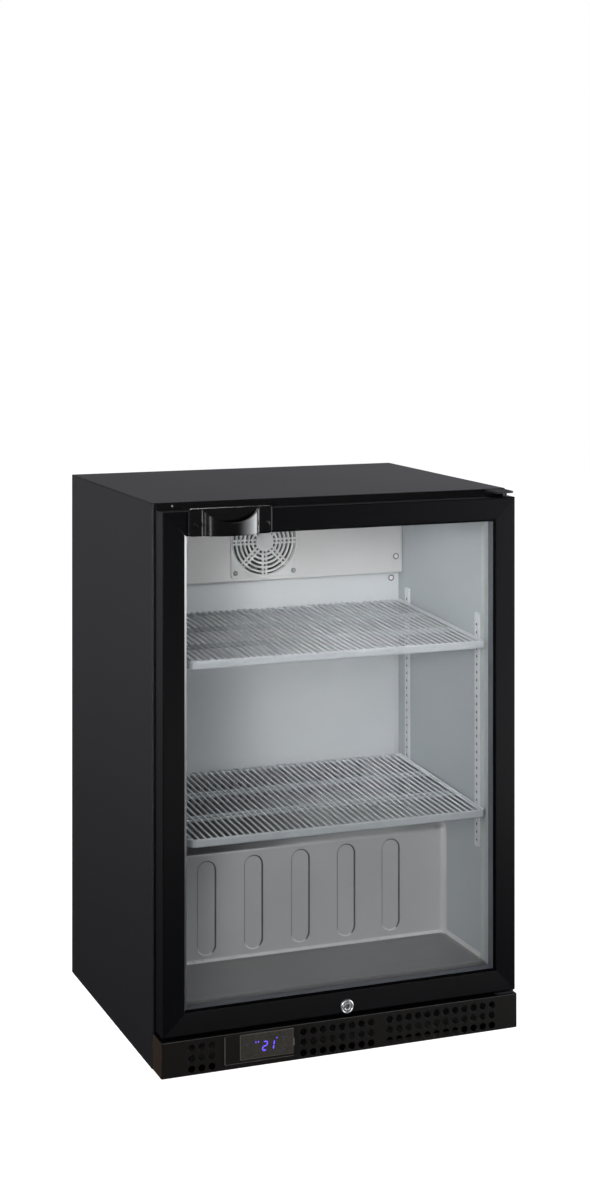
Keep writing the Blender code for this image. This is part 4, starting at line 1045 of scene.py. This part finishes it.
for level, z, body in (("upper", 627.9, "shelf_top"), ("lower", 355.4, "shelf_bottom")):
    bm = new()
    shelf_band(bm, z)
    wires = 47
    for i in range(wires):
        x = 5.65 + 10.6 * (i - (wires - 1) / 2.0)
        tube(bm, [(x, -12.1, z - 7.0), (x, -11.4, z - 3.6), (x, -9.3, z - 2.0), (x, -6.3, z - 1.7), (x, 97.0, z - 1.7),
                  (x, 210.0, z - 1.7), (x, 319.0, z - 1.7)], 1.5, 8)
    for y in (89.5, 105.5, 202.5, 218.5, 318.5):
        tube(bm, [(x, y, z - 5.5) for x in (SX0 + 1.6, -120.0, 0.0, 120.0, SX1 - 1.6)], 2.4, 10)
    tilted(bm, z)
    make("shelf_%s_wires" % level, bm, WIRE_UPPER_SHADE if level == "upper" else WIRE, body=body,
         nodes=("shelf_" + level,), sharp=60.0)
    for side, s in (("left", -1.0), ("right", 1.0)):
        bm = new()
        zr = z - 8.4
        sec = rounded([(236.0, zr), (236.0, zr - 1.5), (256.2, zr - 1.5), (256.2, zr - 13.0), (257.7, zr - 13.0), (257.7, zr)],
                      [0.4, 0.4, 0.0, 0.4, 0.4, 1.2], 3)
        prism(bm, [(s * x, zz) for x, zz in sec], "y", 96.0, 303.0)
        for y in (297.0,):
            prism(bm, [(s * a, b) for a, b in rounded([(256.6, zr - 3.0), (256.6, zr - 10.0), (260.4, zr - 10.0),
                                                       (260.4, zr - 3.0)], [0.3] * 4, 2)], "y", y - 2.0, y + 2.0)
        tilted(bm, z)
        make("shelf_rail_%s_%s_angle" % (level, side), bm, STEEL, nodes=("shelf_rail_%s_%s" % (level, side),))

# ------------------------------------------------------------------ door
DX, DZ0, DZ1, DY0, DY1 = 296.5, 60.0, 852.0, -42.5, -6.5
GROOVE0, GROOVE1 = -41.0, -16.0
section = rounded([(0.0, DY0), (34.5, DY0), (34.5, GROOVE0), (21.7, GROOVE0), (21.7, GROOVE1), (30.0, GROOVE1),
                   (30.0, DY1), (0.0, DY1)], [2.2, 0.7, 0.3, 0.0, 0.0, 0.6, 0.8, 1.2], 5)


def member(name, run, mat, node):
    bm = new()
    ends = []
    for e in (0, 1):
        row = []
        for u, y in section:
            m = u + 0.12
            if run == "left":
                p = (-DX + u, y, DZ0 + m if e == 0 else DZ1 - m)
            elif run == "right":
                p = (DX - u, y, DZ0 + m if e == 0 else DZ1 - m)
            elif run == "top":
                p = (-DX + m if e == 0 else DX - m, y, DZ1 - u)
            else:
                p = (-DX + m if e == 0 else DX - m, y, DZ0 + u)
            row.append(bm.verts.new(p))
        ends.append(row)
    bridge(bm, ends[0], ends[1])
    for e in ends:
        fill(bm, [e])
    return make(name, bm, mat, body="door", nodes=(node,), sharp=30.0)


member("door_stile_left_profile", "left", FRAME_V, "door_stile_left")
stile_r = member("door_stile_right_profile", "right", FRAME_V, "door_stile_right")
rail_t = member("door_rail_top_profile", "top", FRAME_H, "door_rail_top")
rail_b = member("door_rail_bottom_profile", "bottom", FRAME_H, "door_rail_bottom")
bm = new()
turned(bm, [(8.3, DY0 - 5.0), (8.3, -20.0)], 3.0, 71.5, "y", 32)
carve(rail_b, bm)
bm = new()
prism(bm, [(-9.0, 50.0), (34.0, 50.0), (34.0, 81.0), (-9.0, 81.0)], "y", -21.0, -14.0)
carve(rail_b, bm)
for ob, z0, z1 in ((rail_t, 835.0, 860.0), (stile_r, 835.0, 860.0), (rail_b, 50.0, 77.0), (stile_r, 50.0, 77.0)):
    bm = new()
    turned(bm, [(7.3, z0), (7.3, z1)], 286.0, -25.0, "z", 32)
    carve(ob, bm)

for name, y0, y1, node in (("outer_pane", -40.55, -38.6, "outer_glass"), ("inner_pane", -20.45, -16.45, "inner_glass")):
    bm = new()
    plate(bm, rrect(-274.0, 274.0, 82.5, 829.5, 0.6, 2), [], "y", y0, y1, edge=0.5, steps=2)
    make(name, bm, GLASS, body="door", nodes=(node,))

# spacer: four mitred bars between the panes, with a dark edge seal over three of them; the left bar carries a painted
# glow
for name, sides, wide, mat, nodes in (("glass_spacer_bar", (0, 1, 2), 10.5, SPACER, ("glass_spacer",)),
                                      ("glass_spacer_left_bar", (3,), 11.7, SPACER_LEFT_GLOW, ())):
    bm = new()
    prof = rounded([(0.0, -38.1), (wide, -38.1), (wide, -20.75), (0.0, -20.75)], [0.4, 0.7, 0.7, 0.4], 3)
    ring_sweep(bm, prof, 269.0, 87.5, 824.5, sides)
    make(name, bm, mat, body="door", nodes=nodes)
bm = new()
prism(bm, [(-269.0, 87.5), (269.0, 87.5), (269.0, 824.5), (-269.0, 824.5), (-258.5, 814.0), (258.5, 814.0), (258.5, 98.0),
           (-258.5, 98.0)], "y", -38.5, -38.25)
make("glass_edge_seal", bm, SEAL, body="door")

# gasket: a bellows with a magnet bead at its sealing face
bm = new()
prof = [(0.8, -6.2), (2.2, -6.4), (7.8, -6.4), (9.2, -6.2), (9.5, -5.4), (8.7, -4.8), (8.5, -4.2), (9.7, -3.6), (10.0, -2.6),
        (9.7, -1.2), (9.1, -0.5), (0.9, -0.5), (0.3, -1.2), (0.0, -2.6), (0.3, -3.6), (1.5, -4.2), (1.3, -4.8), (0.5, -5.4)]
ring_sweep(bm, prof, 280.0, 76.5, 835.5)
make("door_gasket", bm, RUBBER, body="door", nodes=("gasket",), sharp=60.0)

# handle: thin back plate with two ears, and a bowed cup with a scooped top edge
bm = new()
plate(bm, rrect(-256.7, -122.0, 813.7, 856.7, 5.0, 6), [], "y", -45.8, -42.8, edge=1.1, steps=4)
make("handle_plate", bm, GLOSS, body="door", nodes=("handle",), sharp=50.0)

bm = new()
HX0, HX1, HYP, HB = -236.0, -142.5, -45.4, 19.1
mid, halfw = (HX0 + HX1) / 2.0, (HX1 - HX0) / 2.0
steps = 56
out = []
for i in range(steps + 1):
    a = PI * (1.0 - i / steps)
    c, s = math.cos(a), math.sin(a)
    out.append(Vector((mid + halfw * c, HYP - HB * abs(s) ** 1.6)))
inner = []
for i, p in enumerate(out):
    q0, q1 = out[max(i - 1, 0)], out[min(i + 1, steps)]
    d = (q1 - q0).normalized()
    n = Vector((-d.y, d.x))
    if n.y < 0:
        n = -n
    if i == 0:
        n = Vector((1.0, 0.0))
    if i == steps:
        n = Vector((-1.0, 0.0))
    inner.append(p + n * 3.0)
prev = None
ends = []
for i in range(steps + 1):
    f = abs(out[i].x - mid) / halfw
    scoop = 20.5 * (1.0 - min(f, 1.0) ** 2.2) ** 0.9
    top = 855.0 - scoop
    zb = 814.1
    po, pi_ = out[i], inner[i]
    mo = (po + pi_) / 2.0
    prof = [(po, zb + 1.0), (po, top - 0.6), (po * 0.93 + pi_ * 0.07, top - 0.15), (mo, top), (pi_ * 0.93 + po * 0.07, top - 0.15),
            (pi_, top - 0.6), (pi_, zb + 1.0), (pi_ * 0.85 + po * 0.15, zb + 0.3), (mo, zb), (po * 0.85 + pi_ * 0.15, zb + 0.3)]
    now = [bm.verts.new((p.x, p.y, z)) for p, z in prof]
    if prev:
        bridge(bm, prev, now)
    else:
        ends.append(now)
    prev = now
ends.append(prev)
for e in ends:
    fill(bm, [e])
make("handle_cup", bm, GLOSS, body="door", sharp=60.0)

for label, x, z, r, turn in (("left", -245.6, 830.2, 3.6, 0.3), ("right", -129.4, 829.0, 4.2, 0.9)):
    bm = new()
    screw(bm, x, z, "y", -45.8, -1.0, r=r, h=1.6, turn=turn)
    make("handle_screw_" + label, bm, SCREW_DARK, body="door")

# cam lock
bm = new()
turned(bm, [(6.3, -21.5), (8.0, -21.5), (8.0, -42.8), (11.0, -42.8), (11.0, -44.4), (10.7, -45.2), (10.0, -45.8), (9.2, -46.0), (8.6, -45.7),
            (8.1, -45.2), (7.6, -45.2), (7.0, -45.8), (6.3, -45.8)], 3.0, 71.5, "y", 48)
bm.faces.ensure_lookup_table()
bmesh.ops.delete(bm, geom=[f for f in bm.faces if len(f.verts) > 8], context="FACES_ONLY")
rims = [e for e in bm.edges if e.is_boundary]
bmesh.ops.bridge_loops(bm, edges=rims)
make("lock_barrel_body", bm, CHROME, body="door", nodes=("lock_barrel",), sharp=40.0)

bm = new()
keyway = []
for u, v in ((-0.9, -3.4), (0.9, -3.4), (0.9, 3.4), (-0.9, 3.4)):
    c, s = math.cos(-PI / 4), math.sin(-PI / 4)
    keyway.append((3.0 + u * c - v * s, 71.5 + u * s + v * c))
rows = [loop(bm, circ(3.0, 71.5, r, 40)(), "y", y) for r, y in ((5.2, -46.3), (5.8, -46.1), (6.0, -45.6), (6.0, -19.3))]
for p, q in zip(rows[:-1], rows[1:]):
    bridge(bm, p, q)
dish = [loop(bm, circ(3.0, 71.5, r, 40)(), "y", y) for r, y in ((5.2, -46.3), (4.6, -45.9), (4.2, -45.8))]
bridge(bm, dish[0], dish[1])
bridge(bm, dish[1], dish[2])
k0, k1 = loop(bm, keyway, "y", -45.8), loop(bm, keyway, "y", -36.0)
fill(bm, [dish[2], k0])
bridge(bm, k0, k1)
fill(bm, [k1])
fill(bm, [rows[-1]])
make("lock_plug_core", bm, CHROME, body="lock", nodes=("lock_plug",), sharp=40.0)

# ------------------------------------------------------------------ hinges
outline = [(262.0, -0.3), (264.5, -36.0), (268.0, -40.0), (292.0, -40.0), (296.5, -36.0), (298.0, -0.3)]
for label, z0, z1, f0, f1, p0, p1, sz in (("top", 858.0, 861.0, 841.5, 858.0, 838.0, 858.0, 849.5),
                                          ("bottom", 54.6, 57.4, 57.4, 73.0, 57.4, 74.0, 65.5)):
    bm = new()
    prism(bm, rounded(outline, [0.4, 3.0, 3.0, 3.0, 3.0, 0.4], 4), "z", z0, z1)
    turned(bm, [(3.2, p0), (4.0, p0 + 0.8), (4.0, p1 - 0.8), (4.0 if label == "top" else 3.2, p1)], 286.0, -25.0, "z", 28)
    make("hinge_bracket_%s_plate" % label, bm, PAINT, nodes=("hinge_bracket_" + label,), bevel=0.35)
    bm = new()
    plate(bm, rrect(236.0, 298.0, f0, f1, 1.5, 3), [], "y", -2.3, -0.3, edge=0.4, steps=2)
    make("hinge_flange_" + label, bm, RING)
    bm = new()
    for x in (245.0, 258.0, 284.0):
        screw(bm, x, sz, "y", -2.3, -1.0, r=3.4, h=1.3, turn=x)
    make("hinge_screws_" + label, bm, SCREW_DARK)

# ------------------------------------------------------------------ kick panel
bm = new()
holes = []
for x0, count in ((-251.0, 3), (-69.4, 8), (76.0, 12)):
    for c in range(count):
        for z in (8.6, 24.8, 41.0):
            holes.append(circ(x0 + 16.2 * c, z, 5.6, 28))
holes.append(rrect(-195.0, -89.5, 11.8, 47.2, 1.0, 3))
folded(bm, u_path(299.0, -43.3, -0.4, 1.6), 1.0, "z", 0.0, 54.0, 5, holes)
kick = make("kick_panel_sheet", bm, PAINT_LOW, nodes=("kick_panel",), sharp=40.0)
# the kick's left return takes a brown copy of the black paint: painted warm light
kick.data.materials.append(PAINT_WARM_LIGHT)
for p in kick.data.polygons:
    if p.normal.x < -0.8 and p.center.x < -0.29:
        p.material_index = 1
bm = new()
plate(bm, rrect(-297.7, 297.7, -42.0, -0.6, 0.6, 2), [rrect(-6.0, 32.0, -21.5, -13.5, 0.5, 2)], "z", 53.9, 52.9, edge=0.3, steps=2)
plate(bm, rrect(-297.7, 297.7, -42.0, -0.6, 0.6, 2), [], "z", 0.1, 1.0, edge=0.3, steps=2)
make("kick_panel_flange", bm, RING)
# rolled top edge of the kick in a lighter copy of the paint: painted highlight
bm = new()
tube(bm, [(-298.3, -1.2, 53.3), (-298.3, -41.6, 53.3), (-297.9, -42.3, 53.3), (-297.2, -42.7, 53.3), (297.2, -42.7, 53.3),
          (297.9, -42.3, 53.3), (298.3, -41.6, 53.3), (298.3, -1.2, 53.3)], 0.75, 8)
make("kick_rolled_edge", bm, PAINT_EDGE_HIGHLIGHT, sharp=60.0)
bm = new()
plate(bm, rrect(66.0, 198.0, 0.6, 8.8, 0.6, 2), [], "y", -41.9, -40.9, edge=0.3, steps=2)
make("kick_inner_lip", bm, PAINT_LOW)

# controller: bezel, housing, window, digits
bm = new()
plate(bm, rrect(-198.8, -85.7, 8.0, 51.0, 1.4, 4), [], "y", -45.7, -43.5, edge=0.7, steps=3)
plate(bm, rrect(-194.6, -89.9, 12.2, 46.8, 1.0, 3), [], "y", -43.4, -6.0, edge=0.6, steps=2)
make("controller_bezel", bm, BEZEL, nodes=("controller",))
bm = new()
plate(bm, rrect(-173.8, -88.2, 13.0, 50.2, 1.2, 4), [], "y", -46.5, -45.9, edge=0.28, steps=3)
make("controller_window", bm, LENS, nodes=("controller_display",))
# light rim round the window and a small bar at the right; the thin strips along the bezel's left and bottom edges are
# painted highlights
bm = new()
plate(bm, rrect(-174.4, -87.6, 12.4, 50.8, 1.5, 4), [rrect(-173.7, -88.3, 13.1, 50.1, 1.1, 4)], "y", -46.35, -45.72, edge=0.15, steps=2)
plate(bm, rrect(-198.9, -198.1, 8.6, 50.4, 0.3, 2), [], "y", -46.0, -44.0, edge=0.2, steps=2)
plate(bm, rrect(-198.2, -86.4, 8.0, 8.6, 0.25, 2), [], "y", -46.0, -44.0, edge=0.2, steps=2)
plate(bm, rrect(-87.4, -85.5, 24.0, 35.0, 0.5, 3), [], "y", -46.6, -43.6, edge=0.3, steps=2)
make("controller_trim", bm, LENS_EDGE_AND_HIGHLIGHT)

SEG = {"a": ((0.0, 2.0), (1.0, 2.0)), "b": ((1.0, 2.0), (1.0, 1.0)), "c": ((1.0, 1.0), (1.0, 0.0)), "d": ((0.0, 0.0), (1.0, 0.0)),
       "e": ((0.0, 1.0), (0.0, 0.0)), "f": ((0.0, 2.0), (0.0, 1.0)), "g": ((0.0, 1.0), (1.0, 1.0))}


def digit(bm, x, z, w, h, bars, t):
    """Seven-bar figure, leaning a little."""
    for k in bars:
        (a0, b0), (a1, b1) = SEG[k]
        p0, p1 = Vector((a0 * w, b0 * h / 2.0)), Vector((a1 * w, b1 * h / 2.0))
        d = (p1 - p0).normalized()
        n = Vector((-d.y, d.x)) * t / 2.0
        p0, p1 = p0 + d * 0.35, p1 - d * 0.35
        pts = [p0, p0 + d * t / 2 + n, p1 - d * t / 2 + n, p1, p1 - d * t / 2 - n, p0 + d * t / 2 - n]
        plate(bm, fixed([(x + q.x + q.y * 0.14, z + q.y) for q in pts]), [], "y", -46.58, -46.48)


bm = new()
digit(bm, -138.2, 23.2, 6.3, 13.4, "abged", 1.8)
digit(bm, -126.8, 23.2, 6.3, 13.4, "bc", 1.8)
for x, z in ((-149.0, 37.4), (-144.6, 37.4), (-114.6, 39.6)):
    plate(bm, circ(x, z, 1.1, 12), [], "y", -46.58, -46.48)
make("display_figures", bm, DIGIT)
bm = new()
for x, z in ((-162.5, 35.5), (-103.4, 38.4), (-103.4, 20.4)):
    plate(bm, rrect(x - 1.6, x + 1.6, z - 1.6, z + 1.6, 0.8, 3), [rrect(x - 0.8, x + 0.8, z - 0.8, z + 0.8, 0.3, 3)], "y", -46.56, -46.48)
make("display_marks", bm, ICON)

# inlet pins inside the mains inlet
bm = new()
for x, z in ((218.0, 31.5), (232.0, 31.5), (225.0, 37.0)):
    plate(bm, rrect(x - 1.0, x + 1.0, z - 2.0, z + 2.0, 0.5, 3), [], "y", 466.0, 452.2, edge=0.4, steps=2)
make("mains_inlet_pins", bm, SCREW)

# ------------------------------------------------------------------ carried pieces
CARRIED = {
    "base_pan": ZINC, "compartment_skin": ZINC, "foam_insulation": FOAM,
    "liner_left": LINER_SIDE_SHADE, "liner_right": LINER_SIDE_SHADE, "liner_back": LINER,
    "evaporator_fan_frame": FAN_GREY, "evaporator_fan_blade": FAN_GREY, "evaporator_coil": FIN,
    "hinge_bush_top": DARK, "hinge_bush_bottom": DARK, "lock_cam": STEEL,
    "compressor": MACHINE, "condenser": MACHINE, "condenser_fan_motor": STEEL, "condenser_fan_blade": DARK,
    "evaporation_tray": DARK, "filter_drier": COPPER, "mains_inlet": DARK,
    "foot_front_left": DARK, "foot_front_right": DARK, "foot_rear_left": DARK, "foot_rear_right": DARK,
}
for node, mat in CARRIED.items():
    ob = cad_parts[node]
    ob.data.materials.clear()
    ob.data.materials.append(mat)

# ------------------------------------------------------------------ stage
bm = new()
bmesh.ops.create_circle(bm, cap_ends=True, radius=9.0, segments=96)
me = bpy.data.meshes.new("floor")
bm.to_mesh(me)
bm.free()
floor = bpy.data.objects.new("floor", me)
scene.collection.objects.link(floor)
mat, n, l = nodes_of("floor_pale")
b = n["Principled BSDF"]
b.inputs["Base Color"].default_value = (0.80, 0.80, 0.80, 1.0)
b.inputs["Roughness"].default_value = 0.8
b.inputs["Specular IOR Level"].default_value = 0.1
b.inputs["Emission Color"].default_value = (1.0, 1.0, 1.0, 1.0)
b.inputs["Emission Strength"].default_value = 1.0
me.materials.append(mat)
floor.visible_glossy = False
floor.visible_diffuse = False

world = bpy.data.worlds.new("studio")
scene.world = world
world.use_nodes = True
n, l = world.node_tree.nodes, world.node_tree.links
bg_cam = n["Background"]
bg_cam.inputs["Color"].default_value = (1.0, 1.0, 1.0, 1.0)
bg_cam.inputs["Strength"].default_value = 1.0
bg = n.new("ShaderNodeBackground")
co = n.new("ShaderNodeTexCoord")
sep = n.new("ShaderNodeSeparateXYZ")
l.new(co.outputs["Generated"], sep.inputs["Vector"])
up = n.new("ShaderNodeMapRange")
up.inputs["From Min"].default_value = -1.0
up.inputs["From Max"].default_value = 1.0
l.new(sep.outputs["Z"], up.inputs["Value"])
ramp = n.new("ShaderNodeValToRGB")
for pos, val in ((0.0, 0.01), (0.33, 0.012), (0.38, 0.08), (0.42, 0.26), (0.5, 0.29), (0.56, 0.28), (0.7, 0.17), (1.0, 0.12)):
    e = ramp.color_ramp.elements.new(pos) if pos not in (0.0, 1.0) else ramp.color_ramp.elements[0 if pos == 0.0 else -1]
    e.color = (val, val, val * 1.04, 1.0)
l.new(up.outputs["Result"], ramp.inputs["Fac"])
depth = n.new("ShaderNodeMapRange")
depth.inputs["From Min"].default_value = -0.6
depth.inputs["From Max"].default_value = 0.5
depth.inputs["To Min"].default_value = 0.25
depth.inputs["To Max"].default_value = 1.0
l.new(sep.outputs["Y"], depth.inputs["Value"])
l.new(ramp.outputs["Color"], bg.inputs["Color"])
l.new(depth.outputs["Result"], bg.inputs["Strength"])
path = n.new("ShaderNodeLightPath")
mix = n.new("ShaderNodeMixShader")
l.new(path.outputs["Is Camera Ray"], mix.inputs["Fac"])
l.new(bg.outputs[0], mix.inputs[1])
l.new(bg_cam.outputs[0], mix.inputs[2])
l.new(mix.outputs[0], n["World Output"].inputs["Surface"])


def softbox(name, at, look, w, h, radiance, colour=(1.0, 1.0, 1.0), gloss=True, diffuse=True, spread=180.0):
    data = bpy.data.lights.new(name, "AREA")
    data.shape = "RECTANGLE"
    data.size, data.size_y = w, h
    data.energy = radiance * PI * w * h
    if spread < 180.0:
        half = math.radians(spread / 2.0)
        data.spread = 2.0 * half
        data.energy *= (math.tan(half) - half) / math.tan(half)
    data.color = colour
    ob = bpy.data.objects.new(name, data)
    ob.location = at
    ob.rotation_euler = (Vector(look) - Vector(at)).to_track_quat("-Z", "Y").to_euler()
    ob.visible_camera = False
    ob.visible_glossy = gloss
    ob.visible_diffuse = diffuse
    scene.collection.objects.link(ob)
    return ob


def round_about(az, el, dist, aim=(0.0, -0.05, 0.5)):
    """Place at an azimuth right of the front, in degrees, about the door."""
    a, e = math.radians(az), math.radians(el)
    return (aim[0] + dist * math.cos(e) * math.sin(a), aim[1] - dist * math.cos(e) * math.cos(a), aim[2] + dist * math.sin(e))


def lights_only(light, names):
    """The light reaches these objects and no others."""
    c = bpy.data.collections.new(light.name + "_on")
    for name in names:
        c.objects.link(bpy.data.objects[name])
    light.light_linking.receiver_collection = c


def passes_by(light, names):
    """The light reaches all objects but these."""
    lights_only(light, names)
    for item in light.light_linking.receiver_collection.collection_objects:
        item.light_linking.link_state = "EXCLUDE"


HANDLE = ("handle_plate", "handle_cup", "handle_screw_left", "handle_screw_right")
SHELVES = ("shelf_upper_wires", "shelf_lower_wires")
PROFILES = ("door_stile_left_profile", "door_stile_right_profile", "door_rail_top_profile", "door_rail_bottom_profile")
LOCK = ("lock_barrel_body", "lock_plug_core")
GLOSSY = HANDLE + PROFILES + LOCK + ("kick_panel_sheet", "kick_rolled_edge", "controller_bezel", "controller_window",
                                     "controller_trim", "hinge_bracket_top_plate", "hinge_bracket_bottom_plate")
AIM = (0.0, -0.05, 0.5)
overhead = softbox("overhead", (0.75, 0.10, 1.75), (0.1, 0.0, 0.86), 1.0, 1.0, 15.0, gloss=False)
lights_only(overhead, ("top_panel_sheet",))
key = softbox("key", round_about(-30.0, 14.0, 3.4), (0.16, -0.05, 0.78), 1.0, 1.0, 54.0, spread=27.0)
passes_by(key, HANDLE + PROFILES + SHELVES + ("top_panel_sheet",))
key_top = softbox("key_top", round_about(-30.0, 14.0, 3.4), (0.16, -0.05, 0.78), 1.0, 1.0, 54.0, gloss=False, spread=27.0)
lights_only(key_top, ("top_panel_sheet",))
for name, x, z, wide, radiance in ((SHELVES[0], 0.35, 0.63, 25.0, 56.0), (SHELVES[1], 0.45, 0.36, 20.0, 28.0)):
    shelf_key = softbox("key_" + name, round_about(-30.0, 14.0, 3.4), (x, -0.05, z), 1.0, 1.0, radiance, spread=wide)
    lights_only(shelf_key, (name,))
shelf_down = softbox("shelf_down", (0.17, 0.0, 0.60), (0.17, 0.02, 0.36), 0.3, 0.2, 2.4, gloss=False)
lights_only(shelf_down, (SHELVES[1],))
softbox("fill_front", round_about(0.0, 22.0, 4.2), AIM, 4.5, 2.4, 1.4, gloss=False)
softbox("fill_left", round_about(-70.0, 22.0, 3.2), AIM, 3.4, 2.2, 2.2, gloss=False)
softbox("fill_right", round_about(70.0, 22.0, 3.2), AIM, 3.4, 2.2, 2.2, gloss=False)
fill_back = softbox("fill_back", round_about(160.0, 25.0, 3.6), AIM, 3.2, 2.2, 3.6)
lights_only(fill_back, ("rear_panel_sheet", "rear_grille_sheet", "rear_screws"))
left_strip = softbox("left_strip", (-2.3, -1.1, 0.8), (-0.2, -0.3, 0.6), 0.2, 1.6, 5.0)
passes_by(left_strip, HANDLE)
for i, (az, radiance) in enumerate(((30.0, 0.2), (37.0, 0.7), (44.0, 1.3), (51.0, 2.0), (58.0, 2.8), (65.0, 3.7), (72.0, 4.6),
                                    (79.0, 5.4), (86.0, 6.0))):
    strip = softbox("right_strip_%d" % i, round_about(az, 2.0, 2.6), (0.0, -0.05, 0.55), 0.325, 1.7, radiance,
                    colour=(0.95, 0.97, 1.0), diffuse=False)
    lights_only(strip, GLOSSY if az < 60.0 else [name for name in GLOSSY if name != "door_rail_top_profile"])
for i, (az, wide, radiance) in enumerate(((-43.0, 0.10, 4.0), (-60.0, 0.10, 2.5), (-82.0, 0.3, 3.0))):
    strip = softbox("cup_strip_%d" % i, round_about(az, 2.0, 2.6), (-0.18, -0.25, 0.6), wide, 1.7, radiance, diffuse=False)
    lights_only(strip, ("handle_plate", "handle_cup"))
edge_strip = softbox("edge_strip", (-0.2, -1.7, 2.3), (-0.19, -0.25, 0.84), 1.4, 1.0, 20.0, diffuse=False)
lights_only(edge_strip, ("handle_plate",))
glint = softbox("glint", round_about(40.0, 12.0, 2.2), (-0.13, -0.25, 0.83), 0.9, 0.7, 25.0, diffuse=False)
lights_only(glint, ("handle_screw_right",))
lock_front = softbox("lock_front", round_about(-8.0, 6.0, 2.0), (0.0, -0.25, 0.07), 1.2, 1.2, 1.2)
lights_only(lock_front, LOCK)
rail_low = softbox("rail_low", (0.38, -1.45, 0.16), (0.0, -0.25, 0.07), 1.3, 0.28, 3.2, diffuse=False)
lights_only(rail_low, PROFILES[3:])
stile_low = softbox("stile_low", (0.38, -1.45, 0.16), (0.0, -0.25, 0.07), 1.3, 0.28, 0.5, diffuse=False)
lights_only(stile_low, PROFILES[:2])
